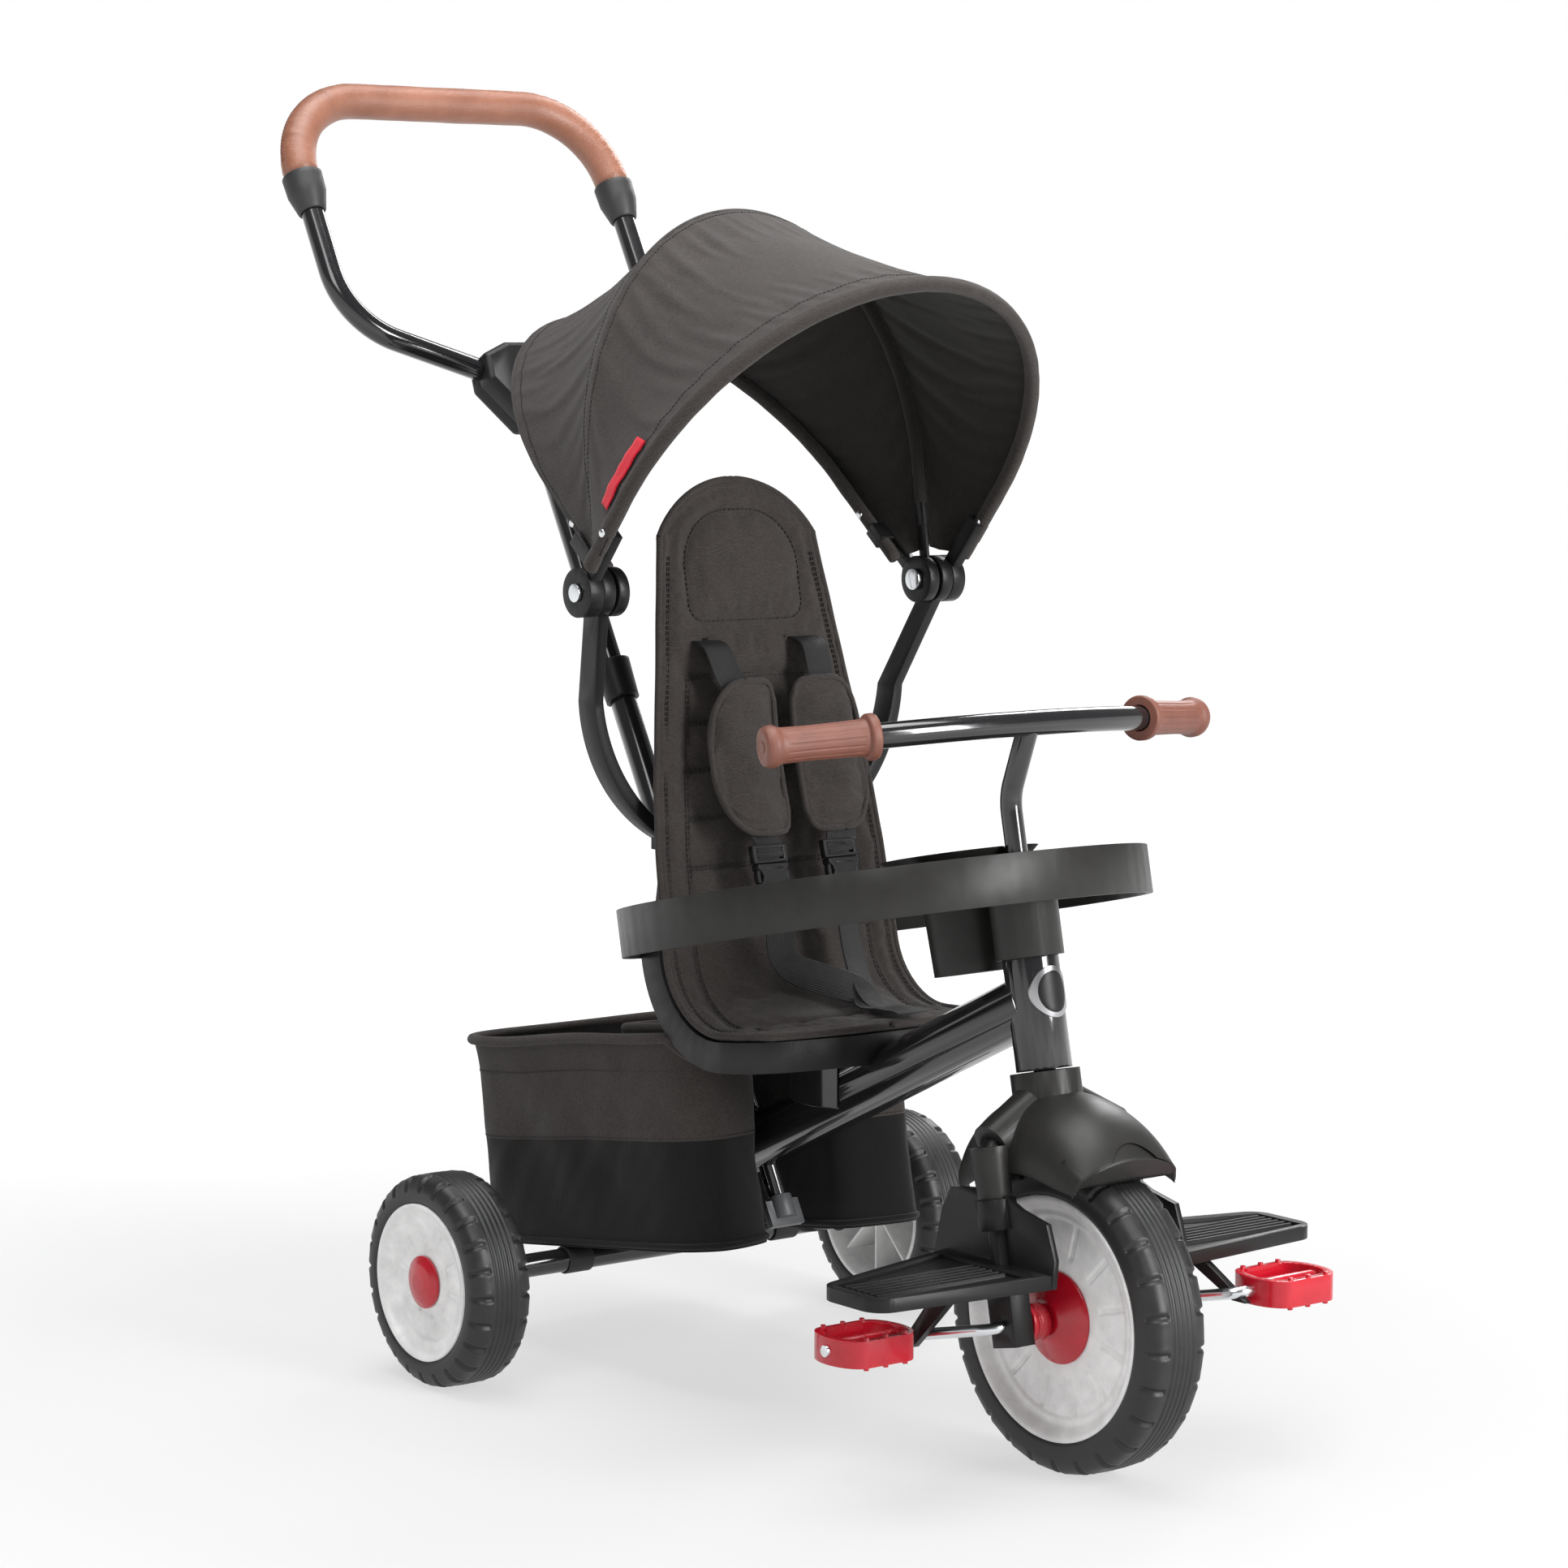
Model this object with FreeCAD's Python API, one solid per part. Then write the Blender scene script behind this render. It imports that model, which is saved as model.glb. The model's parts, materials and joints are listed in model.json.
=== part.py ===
"""Children's push-along tricycle with canopy, padded seat, tray hoop and rear storage bag.

Millimetres. +Z is up, the trike faces -Y, and X = 0 is its plane of symmetry.
The origin lies on the ground, under the middle of the whole tricycle.
"""
import FreeCAD, Part
import math
import os

os.makedirs("parts", exist_ok=True)

V = FreeCAD.Vector

# ---- driving dimensions -------------------------------------------------------
FRONT_AXLE_Y = -372.5
WHEELBASE = 490.0
REAR_AXLE_Y = FRONT_AXLE_Y + WHEELBASE
FRONT_WHEEL_R = 116.0
REAR_WHEEL_R = 84.5
WHEEL_HALF_W = 27.0
REAR_TRACK = 454.0
FRONT_RIM_R = 90.8
REAR_RIM_R = 62.4
RAKE = 12.0                    # head tube leans back from the vertical, degrees
FIT = 0.05                     # radial clearance of a shaft that turns or slides
GAP = 0.4                      # clearance between pieces of different bodies

ROD_R = 4.3                    # pedal crank rod
REAR_ROD_R = 5.0
AXLE_TUBE_R = 9.5
STEM_R = 8.25
BAR_R = 9.4
HEAD_R = 21.0
HEAD_WALL = 3.0
HEAD_T = (180.0, 296.0)        # head tube's ends, up the steering axis from the front axle
MAIN_TUBE_R = 22.5
MAIN_WALL = 2.0
MAIN_TOP = V(0, -325, 342.2)
MAIN_END = V(0, 128, 129.0)

POLE_ANGLE = 29.0              # push handle leans back from the vertical, degrees
POLE_ORIGIN = V(0, 162.3, 464.2)
POLE_OUT_R = 11.0
POLE_IN_R = 9.5
STUB_R = 8.0
POLE_SHOULDER = -294.0         # stations along the pole from POLE_ORIGIN
POLE_FOOT = -366.0
POLE_LOWER_TOP = 88.0
LOOP_HALF_W = 160.0
LOOP_TOP = 642.0
LOOP_TOP_BEND = 75.0
LOOP_LOW_BEND = 70.0
WRAP_R = 15.0
WRAP_START = 566.0
CUFF_START = 531.0

HUB = V(0, -2, 632)            # canopy pivot line
HUB_R = 19.0
REAR_DISC_X = (149.0, 158.8)
MID_EYE_X = (159.2, 161.4)
ARM_HEAD_X = (161.8, 173.0)
FRONT_DISC_X = (173.4, 185.5)
BOLT_R = 4.0
BOW_R = 3.5
BOW_FOOT = 44.0                # where each bow leaves its bracket, from the pivot
BRACKET_TOP = 62.0
CLOTH = 2.5
# name: tilt from the vertical (forward is positive), half width, rise, centre of its ellipse
BOWS = {"rear": (-50.0, 143.0, 322.0, 120.0),
        "mid": (-8.0, 161.0, 293.0, 90.0),
        "front": (40.0, 185.0, 306.0, 90.0)}
CLOTH_SAG = {"rear": 13.0, "front": 4.0}

SEAT_BACK_TOP = (45.0, 715.0)  # side view points (y, z) of the padded surface
SEAT_CORNER = (-35.0, 296.0)
SEAT_NOSE = (-159.0, 307.0)
SEAT_BEND = 60.0
LINER_T = 10.0
SHELL_SKIN = 3.6
SHELL_DEEP = 24.0              # depth of the shell's rim round the pan
SHELL_THIN = 12.0              # and behind the back
SHELL_INSET = 17.0             # the shell is this much narrower than the pad up the back

TRAY_CENTRE_B = 162.0          # hoop centre behind the steering axis
TRAY_R = 205.0
TRAY_TOP = 339.0               # height along the steering axis
TRAY_H = 37.0
TRAY_WALL = 5.0
CUP_B = 66.0
CUP_R = 33.0
DISH_R = 60.0

BAG_TILT = 8.0
BAG_ORIGIN = V(0, REAR_AXLE_Y, 98.0)
BAG_H = 170.0
BAG_WALL = 3.0

PEDAL_X = 141.0
PEDAL_CRANK = (72.0, -16.0)    # right pedal: behind and below the axle
PEDAL_HALF = (35.0, 28.0, 10.0)


# ---- helpers ------------------------------------------------------------------
def box(x0, x1, y0, y1, z0, z1):
    return Part.makeBox(x1 - x0, y1 - y0, z1 - z0, V(x0, y0, z0))


def cylinder(start, end, radius):
    axis = end - start
    return Part.makeCylinder(radius, axis.Length, start, axis)


def pipe(start, end, outer, inner):
    axis = (end - start).normalize()
    return cylinder(start, end, outer).cut(cylinder(start - axis, end + axis, inner))


def mirrored(shape):
    return shape.mirror(V(0, 0, 0), V(1, 0, 0))


def polygon(points):
    return Part.Face(Part.makePolygon(list(points) + [points[0]]))


def fuse(shapes):
    return shapes[0].multiFuse(shapes[1:]).removeSplitter()


def largest(shape):
    return max(shape.Solids, key=lambda solid: solid.Volume)


def bent_wire(points, radius):
    """Straight runs through the points, with a tangent arc of the given radius at each corner."""
    edges = []
    start = points[0]
    for before, corner, after in zip(points, points[1:], points[2:]):
        u = (before - corner).normalize()
        w = (after - corner).normalize()
        half = 0.5 * u.getAngle(w)
        reach = radius / math.tan(half)
        first = corner + u * reach
        last = corner + w * reach
        bisector = (u + w).normalize()
        middle = corner + bisector * (radius / math.sin(half) - radius)
        edges.append(Part.LineSegment(start, first).toShape())
        edges.append(Part.Arc(first, middle, last).toShape())
        start = last
    edges.append(Part.LineSegment(start, points[-1]).toShape())
    return Part.Wire(edges)


def sweep(wire, radius, start, direction):
    ring = Part.Wire([Part.Circle(start, direction, radius).toShape()])
    return wire.makePipeShell([ring], True, False)


def bent_rod(points, radius, bend):
    return sweep(bent_wire(points, bend), radius, points[0], points[1] - points[0])


def turned(profile, centre):
    """Solid of revolution about a line along X: the profile holds (x, radius) points."""
    face = polygon([V(x, 0, r) for x, r in profile])
    solid = face.revolve(V(0, 0, 0), V(1, 0, 0), 360)
    solid.translate(centre)
    return solid


def leaned(shape, origin, angle):
    """Move a shape drawn upright at the origin so that it leans back by the angle, in degrees."""
    place = FreeCAD.Placement(origin, FreeCAD.Rotation(V(1, 0, 0), -angle))
    return shape.transformed(place.toMatrix())


FRONT_AXLE = V(0, FRONT_AXLE_Y, FRONT_WHEEL_R)
REAR_AXLE = V(0, REAR_AXLE_Y, REAR_WHEEL_R)


def steer(shape):
    return leaned(shape, FRONT_AXLE, RAKE)


def pole(shape):
    return leaned(shape, POLE_ORIGIN, POLE_ANGLE)


def bow_frame(shape, tilt):
    return leaned(shape, HUB, -tilt)


def export(name, *shapes):
    solids = []
    for shape in shapes:
        solids.extend(shape.Solids)
    whole = solids[0] if len(solids) == 1 else Part.makeCompound(solids)
    for solid in solids:
        if not solid.isValid() or solid.Volume <= 0:
            print("BAD SOLID in", name, solid.Volume)
    whole.exportStep("parts/%s.step" % name)
    print(name, len(solids), round(sum(s.Volume for s in solids)))


# ---- welded frame ---------------------------------------------------------------
def head_tube_solid(radius):
    return steer(Part.makeCylinder(radius, HEAD_T[1] - HEAD_T[0], V(0, 0, HEAD_T[0])))


def pole_solid(radius, low, high):
    return pole(Part.makeCylinder(radius, high - low, V(0, 0, low)))


def make_main_frame():
    head = head_tube_solid(HEAD_R)
    tube = cylinder(MAIN_TOP, MAIN_END, MAIN_TUBE_R)
    axle = cylinder(REAR_AXLE - V(180, 0, 0), REAR_AXLE + V(180, 0, 0), AXLE_TUBE_R)
    gusset = box(-12, 12, REAR_AXLE_Y - 16, REAR_AXLE_Y + 12, REAR_WHEEL_R, 128)
    body = fuse([head, tube, axle, gusset])
    direction = (MAIN_END - MAIN_TOP).normalize()
    hollow = cylinder(MAIN_TOP + direction * 30, MAIN_END - direction * 4, MAIN_TUBE_R - MAIN_WALL)
    body = body.cut(hollow)
    body = body.cut(steer(Part.makeCylinder(HEAD_R - HEAD_WALL, 140, V(0, 0, 170))))
    body = body.cut(cylinder(REAR_AXLE - V(190, 0, 0), REAR_AXLE + V(190, 0, 0), REAR_ROD_R + FIT))
    body = body.cut(pole_solid(STUB_R, POLE_FOOT, 0))
    return body


def make_head_bushes():
    inner = STEM_R + FIT
    outer = HEAD_R - HEAD_WALL
    bushes = []
    for low, high in ((HEAD_T[0], HEAD_T[0] + 22), (HEAD_T[1] - 22, HEAD_T[1])):
        ring = pipe(V(0, 0, low), V(0, 0, high), outer, inner)
        bushes.append(steer(ring))
    return bushes


def make_head_badge():
    """Blank oval plate bent round the front of the head tube."""
    height, half_width = 38.0, 17.0
    oval = Part.Face(Part.Wire([Part.Ellipse(V(0, 0, 0), height / 2, half_width).toShape()]))
    oval.rotate(V(0, 0, 0), V(0, 1, 0), 90)
    oval.rotate(V(0, 0, 0), V(0, 0, 1), 90)
    oval.translate(V(0, -40, 236))
    plug = oval.extrude(V(0, 40, 0))
    skin = pipe(V(0, 0, 210), V(0, 0, 262), HEAD_R + 1.4, HEAD_R)
    return steer(plug.common(skin))


def make_rear_axle():
    reach = REAR_TRACK / 2 + 21.6
    rod = cylinder(REAR_AXLE - V(reach, 0, 0), REAR_AXLE + V(reach, 0, 0), REAR_ROD_R)
    profile = [(165, AXLE_TUBE_R), (165, 12), (168.5, 12), (168.5, 10.6), (195, 10.6), (195, 12.4),
               (199.4, 12.4), (199.4, REAR_ROD_R + FIT), (180, REAR_ROD_R + FIT), (180, AXLE_TUBE_R)]
    bush = turned(profile, REAR_AXLE)
    return rod, bush


# ---- wheels ---------------------------------------------------------------------
def tyre_profile(outer, rim):
    w = WHEEL_HALF_W
    wall = 4.0
    crown = outer - 6.5
    return [(-w, rim), (-w, outer - 11), (-w + 5, outer - 3.2), (-w + 13, outer - 0.4), (0, outer),
            (w - 13, outer - 0.4), (w - 5, outer - 3.2), (w, outer - 11), (w, rim),
            (w - wall, rim), (w - wall, crown - 4), (w - wall - 4, crown), (-w + wall + 4, crown),
            (-w + wall, crown - 4), (-w + wall, rim)]


def make_rear_wheel():
    """Left wheel, whose outer face looks along +X."""
    centre = REAR_AXLE + V(REAR_TRACK / 2, 0, 0)
    rim_r, bore = REAR_RIM_R, REAR_ROD_R + FIT
    rim = [(27, rim_r), (27, 59.5), (18, 54), (18, 22), (22, 20), (22, bore), (-26.5, bore),
           (-26.5, 13), (14, 13), (14, 55), (-26, 58.5), (-26, rim_r)]
    cap = [(22.1, 0.01), (22.1, 20.8), (24, 20.8), (27, 15), (28.6, 8), (29, 0.01)]
    return turned(tyre_profile(REAR_WHEEL_R, rim_r), centre), turned(rim, centre), turned(cap, centre)


def make_front_wheel():
    rim_r, face = FRONT_RIM_R, 17.0
    bore = ROD_R + FIT
    rim = [(-26, rim_r), (26, rim_r), (26, 86), (face, 80), (face, bore), (-face, bore), (-face, 80), (-26, 86)]
    cavity = [(-face + 3, 14), (-face + 3, 79), (-20, 84), (-20, 87.6), (20, 87.6), (20, 84),
              (face - 3, 79), (face - 3, 14)]
    solid = turned(rim, FRONT_AXLE).cut(turned(cavity, FRONT_AXLE))
    left_hub = [(face, bore), (face, 34.4), (19, 34.4), (27, 20), (30, 14), (52, 14), (52, bore)]
    right_hub = [(-face, bore), (-face, 34.4), (-19, 34.4), (-27, 20), (-31, 14), (-31, bore)]
    sleeve = [(-51.5, bore), (-51.5, 14), (-47, 14), (-47, 13), (-45, 13), (-45, 14), (-35.6, 14), (-35.6, bore)]
    tyre = turned(tyre_profile(FRONT_WHEEL_R, rim_r), FRONT_AXLE)
    return tyre, solid, turned(left_hub, FRONT_AXLE), turned(right_hub, FRONT_AXLE), turned(sleeve, FRONT_AXLE)


# ---- steering -------------------------------------------------------------------
def make_stem():
    path = [V(0, 0, 130), V(0, 0, 382), V(0, -32, 432.5)]
    return steer(bent_rod(path, STEM_R, 40)).cut(handlebar_solid(BAR_R))


def bar_wire():
    """Handlebar centre line: swept back in a broad arc, straight where the grips sit."""
    arc_x, radius = 118.0, 390.0
    sag = radius - math.sqrt(radius ** 2 - arc_x ** 2)
    slope = arc_x / math.sqrt(radius ** 2 - arc_x ** 2)
    end_x = 208.0
    left = V(arc_x, sag, 0)
    right = V(-arc_x, sag, 0)
    tip = V(end_x, sag + (end_x - arc_x) * slope, 0)
    other = V(-end_x, tip.y, 0)
    edges = [Part.LineSegment(other, right).toShape(), Part.Arc(right, V(0, 0, 0), left).toShape(),
             Part.LineSegment(left, tip).toShape()]
    return Part.Wire(edges), other, right - other


def handlebar_solid(radius):
    wire, start, direction = bar_wire()
    solid = sweep(wire, radius, start, direction)
    solid.translate(V(0, -32, 432.8))
    return steer(solid)


def make_grip():
    """Left grip: flange, waisted body and end bulb, turned about the straight end of the bar."""
    wire, tip, direction = bar_wire()
    profile = [(-3, 0.01), (-3, 14), (0, 15.4), (5, 15.6), (9, 13.4), (20, 12.4), (45, 13), (70, 13.2),
               (77, 13.6), (79, 17), (84, 17), (84, 0.01)]
    solid = turned([(x, r) for x, r in profile], V(0, 0, 0))
    angle = math.degrees(math.atan2(direction.y, direction.x))
    solid.rotate(V(0, 0, 0), V(0, 0, 1), angle)
    solid.translate(tip + V(0, -32, 432.8))
    return steer(solid).cut(handlebar_solid(BAR_R))


def fork_leg_path(side):
    return [V(side * 20, 0, 147), V(side * 62, 0, 128), V(side * 62, 0, 20)]


def make_fork():
    crown = box(-26, 26, -14, 14, 139, 155)
    legs = [bent_rod(fork_leg_path(side), 9.0, 14) for side in (-1, 1)]
    clamps = [box(side * 62 - 9, side * 62 + 9, -13, 13, -15, 24) for side in (-1, 1)]
    body = steer(fuse([crown] + legs + clamps))
    body = body.cut(steer(Part.makeCylinder(STEM_R, 120, V(0, 0, 100))))
    return body.cut(cylinder(FRONT_AXLE - V(90, 0, 0), FRONT_AXLE + V(90, 0, 0), ROD_R))


def fender_section(angle, half_width, crown, edge):
    """Arch across the wheel at an angle behind the steering axis, from edge radius up to crown radius."""
    shoulder = edge + 0.62 * (crown - edge)
    curve = Part.BSplineCurve()
    curve.interpolate([V(-half_width, 0, edge), V(-0.82 * half_width, 0, shoulder), V(0, 0, crown),
                       V(0.82 * half_width, 0, shoulder), V(half_width, 0, edge)])
    chord = Part.LineSegment(V(half_width, 0, edge), V(-half_width, 0, edge))
    wire = Part.Wire([curve.toShape(), chord.toShape()])
    wire.rotate(V(0, 0, 0), V(1, 0, 0), -angle)
    return wire


def fender_dome(skin):
    """Saddle over the wheel, low at the fork legs and rising to a tip at the front."""
    stations = [(-38.5, 50, 139, 114), (-28, 53, 151, 110), (-12, 55, 162, 110), (6, 55, 165, 110),
                (20, 50, 158, 112), (31, 44, 143, 116)]
    sections = []
    for angle, half_width, crown, edge in stations:
        sections.append(fender_section(angle * (1 + 0.03 * skin), half_width - skin, crown - skin, edge - skin))
    return Part.makeLoft(sections, True, False)


def make_fender():
    dome = fender_dome(0.0)
    collar = Part.makeCylinder(26, 24, V(0, 0, 155))
    cheeks = [cylinder(V(side * 14, 0, 157), V(side * 60, 0, 132), 15) for side in (-1, 1)]
    cuffs = [Part.makeCone(15, 12.5, 38, V(side * 62, 0, 130), V(0, 0, -1)) for side in (-1, 1)]
    body = fuse([dome, collar] + cheeks + cuffs).cut(fender_dome(3.0))
    body = steer(body).cut(make_fork())
    body = body.cut(steer(Part.makeCylinder(STEM_R, 120, V(0, 0, 100))))
    return largest(body)


def crank_path(side):
    back = -side * PEDAL_CRANK[0]
    up = -side * PEDAL_CRANK[1]
    arm = FRONT_AXLE + V(0, back, up)
    return [FRONT_AXLE + V(side * 10, 0, 0), FRONT_AXLE + V(side * 82, 0, 0),
            arm + V(side * 93, 0, 0), arm + V(side * 178, 0, 0)]


def make_crank():
    """One steel rod, bent at both ends, with the left pedal ahead of the axle and the right one behind."""
    left = crank_path(1)
    right = crank_path(-1)
    path = right[:0:-1] + left[1:]
    return bent_rod(path, ROD_R, 13)


def make_pedal(side):
    """Open loop pedal with a spindle barrel across its middle and small grip nubs."""
    hx, hy, hz = PEDAL_HALF
    wall = 6.0

    def racetrack(half_x, half_y, low, high):
        core = box(-half_x + half_y * 0.6, half_x - half_y * 0.6, -half_y, half_y, low, high)
        ends = []
        for end in (-1, 1):
            disc = Part.makeCylinder(half_y, high - low, V(0, 0, low))
            scale = FreeCAD.Matrix()
            scale.scale(0.6, 1, 1)
            disc = disc.transformGeometry(scale)
            disc.translate(V(end * (half_x - half_y * 0.6), 0, 0))
            ends.append(disc)
        return fuse([core] + ends)

    loop = racetrack(hx, hy, -hz, hz).cut(racetrack(hx - wall, hy - wall, -hz - 1, hz + 1))
    barrel = cylinder(V(-hx + 1, 0, 0), V(hx - 1, 0, 0), 7.5)
    nubs = []
    for x in (-18, 0, 18):
        for y in (-hy + wall / 2, hy - wall / 2):
            nubs.append(cylinder(V(x, y, -hz - 2), V(x, y, hz + 2), 2))
    body = fuse([loop, barrel] + nubs)
    centre = FRONT_AXLE + V(side * PEDAL_X, -side * PEDAL_CRANK[0], -side * PEDAL_CRANK[1])
    body.translate(centre)
    return body.cut(cylinder(centre - V(60, 0, 0), centre + V(60, 0, 0), ROD_R + FIT))


FENDER = make_fender()


def make_footrest(side):
    """Ridged plate, upright side web round the fork leg, and a leg down to the crank rod."""
    low, high = 151.0, 161.0
    inner, outer = 60.0, 214.0
    corners = [V(inner, -419, low), V(outer, -404, low), V(outer, -341, low), V(inner, -300, low)]
    plate = polygon(corners).extrude(V(0, 0, high - low))
    ends = [e for e in plate.Edges if abs(e.tangentAt(e.FirstParameter).z) > 0.9 and e.Vertexes[0].X > 200]
    plate = plate.makeFillet(18, ends)
    well = [V(inner + 20, -409, high - 3), V(outer - 8, -396, high - 3), V(outer - 8, -349, high - 3),
            V(inner + 20, -314, high - 3)]
    plate = plate.cut(polygon(well).extrude(V(0, 0, 10)))
    ridges = [box(inner + 24, outer - 12, y, y + 2.4, high - 3.4, high) for y in range(-390, -351, 7)]
    outline = [V(inner, -419, low), V(inner, -421, 172), V(inner, -412, 197), V(inner, -384, 203),
               V(inner, -356, 214), V(inner, -306, 208), V(inner, -296, 190), V(inner, -286, low)]
    web = polygon(outline).extrude(V(4.5, 0, 0))
    front, rear = -404.0, -341.0
    ring = steer(pipe(V(62, 0, 70), V(62, 0, 92), 15.0, 9.0))
    pedal_y = FRONT_AXLE_Y - side * PEDAL_CRANK[0]
    pedal_z = FRONT_WHEEL_R - side * PEDAL_CRANK[1]
    top_y = min(max(pedal_y, front + 14), rear - 14)
    shin = polygon([V(95, pedal_y - 7, pedal_z - 7), V(95, pedal_y + 7, pedal_z - 7), V(95, top_y + 12, low + 1),
                    V(95, top_y - 12, low + 1)]).extrude(V(6, 0, 0))
    body = fuse([plate, web, ring, shin] + ridges)
    body = body if side > 0 else mirrored(body)
    body = body.cut(bent_rod(crank_path(side), ROD_R, 13)).cut(FENDER)
    return largest(body.cut(make_fork()))


# ---- push handle ----------------------------------------------------------------
def make_lower_pole():
    body = fuse([pole_solid(POLE_OUT_R, POLE_SHOULDER, POLE_LOWER_TOP), pole_solid(STUB_R, POLE_FOOT, POLE_SHOULDER)])
    body = body.cut(pole_solid(POLE_IN_R + FIT, POLE_SHOULDER + 6, POLE_LOWER_TOP + 5))
    hole = pole(cylinder(V(-20, 0, POLE_FOOT + 14), V(20, 0, POLE_FOOT + 14), 2.5))
    return body.cut(hole)


def make_height_collar():
    low, high = 72.0, 106.0
    body = Part.makeCone(14.0, 15.2, high - low, V(0, 0, low))
    body = body.cut(Part.makeCylinder(POLE_OUT_R, POLE_LOWER_TOP - low + 1, V(0, 0, low - 1)))
    body = body.cut(Part.makeCylinder(POLE_IN_R + 0.08, 60, V(0, 0, low)))
    body = body.cut(Part.makeCylinder(5.0 + FIT, 30, V(0, 0, 97), V(0, 1, 0)))
    button = Part.makeCylinder(5.0, 5.6, V(0, 12.4, 97), V(0, 1, 0))
    return pole(body), pole(button)


def make_wing_knob():
    body = Part.makeCylinder(10.5, 18, V(0, 0, POLE_FOOT - 18.4))
    wings = [box(side * 8 - 8, side * 8 + 8, -3.5, 3.5, POLE_FOOT - 24.4, POLE_FOOT - 3.4) for side in (-1, 1)]
    return pole(fuse([body] + wings))


def loop_point(x, s):
    return V(x, 0, s)


def loop_path():
    low_x, low_s = 26.0, 375.8
    slope = 0.383
    knee = low_s + slope * (LOOP_HALF_W - low_x)
    half = [loop_point(low_x, low_s), loop_point(LOOP_HALF_W, knee), loop_point(LOOP_HALF_W, LOOP_TOP)]
    other = [V(-p.x, p.y, p.z) for p in half]
    return half, other


def loop_solid(radius):
    half, other = loop_path()
    straight = [half[0], half[1], V(LOOP_HALF_W, 0, 520)]
    leg = bent_rod(straight, radius, LOOP_LOW_BEND)
    top = [V(LOOP_HALF_W, 0, 519.9), half[2], other[2], V(-LOOP_HALF_W, 0, 519.9)]
    arch = bent_rod(top, radius, LOOP_TOP_BEND)
    return fuse([leg, mirrored(leg), arch])


def make_handle_wrap():
    half, other = loop_path()
    top = [V(LOOP_HALF_W, 0, WRAP_START), half[2], other[2], V(-LOOP_HALF_W, 0, WRAP_START)]
    return bent_rod(top, WRAP_R, LOOP_TOP_BEND - 0.5).cut(loop_solid(POLE_IN_R))


def make_cuff():
    lower = Part.makeCone(11.8, 16.6, 18, V(LOOP_HALF_W, 0, CUFF_START))
    upper = Part.makeCone(16.6, 17.2, WRAP_START - CUFF_START - 18, V(LOOP_HALF_W, 0, CUFF_START + 18))
    return fuse([lower, upper]).cut(Part.makeCylinder(POLE_IN_R, 60, V(LOOP_HALF_W, 0, CUFF_START - 5)))


def make_upper_pole():
    body = Part.makeCylinder(POLE_IN_R, 480, V(0, 0, -120))
    return body.cut(Part.makeCylinder(POLE_IN_R - 1.5, 460, V(0, 0, -121)))


def hub_block():
    outline = [V(-45, 0, 366), V(-42, 0, 391), V(-17, 0, 402), V(17, 0, 402), V(42, 0, 391), V(45, 0, 366),
               V(17, 0, 326), V(-17, 0, 326)]
    block = polygon(outline).extrude(V(0, 32, 0))
    block.translate(V(0, -16, 0))
    return block.makeFillet(6, block.Edges)


def make_handle_hub():
    """Two shells that clamp the pole and both legs of the loop."""
    block = hub_block()
    block = block.cut(loop_solid(POLE_IN_R)).cut(Part.makeCylinder(POLE_IN_R, 100, V(0, 0, 260)))
    front = block.common(box(-80, 80, -40, 0, 300, 420))
    rear = block.common(box(-80, 80, 0, 40, 300, 420))
    return pole(front), pole(rear)


# ---- canopy ---------------------------------------------------------------------
def bow_wire(half_width, rise, centre, foot):
    """Half ellipse on two short straight legs, drawn in the XZ plane above the pivot line."""
    oval = Part.Ellipse(V(0, 0, centre), max(half_width, rise - centre), min(half_width, rise - centre))
    if rise - centre > half_width:
        oval = Part.Ellipse(V(0, 0, rise), V(half_width, 0, centre), V(0, 0, centre))
    else:
        oval = Part.Ellipse(V(half_width, 0, centre), V(0, 0, rise), V(0, 0, centre))
    right, left = V(-half_width, 0, centre), V(half_width, 0, centre)
    first = oval.parameter(right)
    last = oval.parameter(left)
    edge = Part.ArcOfEllipse(oval, first, last).toShape()
    if abs(edge.valueAt(0.5 * (edge.FirstParameter + edge.LastParameter)).z - rise) > 1:
        edge = Part.ArcOfEllipse(oval, last, first).toShape()
    low_right = Part.LineSegment(V(-half_width, 0, foot), right).toShape()
    low_left = Part.LineSegment(left, V(half_width, 0, foot)).toShape()
    return low_right, edge, low_left


def bow_rod(name):
    tilt, half_width, rise, centre = BOWS[name]
    wire = Part.Wire(Part.sortEdges(list(bow_wire(half_width, rise, centre, BOW_FOOT)))[0])
    ring = Part.Wire([Part.Circle(V(-half_width, 0, BOW_FOOT), V(0, 0, 1), BOW_R).toShape()])
    return wire.makePipeShell([ring], True, False)


def disc(span, radius):
    return cylinder(V(span[0], 0, 0), V(span[1], 0, 0), radius)


def make_bow(name):
    """Bow with its moulded brackets and pivot discs, drawn upright and then tilted."""
    tilt, half_width = BOWS[name][:2]
    rod = bow_rod(name)
    sides = []
    if name == "mid":
        eye = disc(MID_EYE_X, 12)
        strap = box(MID_EYE_X[0], MID_EYE_X[1], -5, 5, 0, BRACKET_TOP)
        foot = box(MID_EYE_X[0] - 1, half_width + 3, -5, 5, BOW_FOOT, BRACKET_TOP)
        sides.append(fuse([eye, strap, foot]))
    else:
        span = REAR_DISC_X if name == "rear" else FRONT_DISC_X
        low_x = min(span[0] + 1, half_width - 5)
        high_x = max(span[0] + 4, half_width + 3)
        bracket = box(span[0] + 1, span[1] - 2, -6, 6, 8, BRACKET_TOP)
        foot = box(low_x, high_x, -6, 6, BOW_FOOT, BRACKET_TOP)
        sides.append(fuse([disc(span, HUB_R), bracket, foot]))
    body = fuse([rod] + sides + [mirrored(s) for s in sides])
    body = body.cut(cylinder(V(-200, 0, 0), V(200, 0, 0), BOLT_R + FIT))
    return bow_frame(body, tilt)


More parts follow.
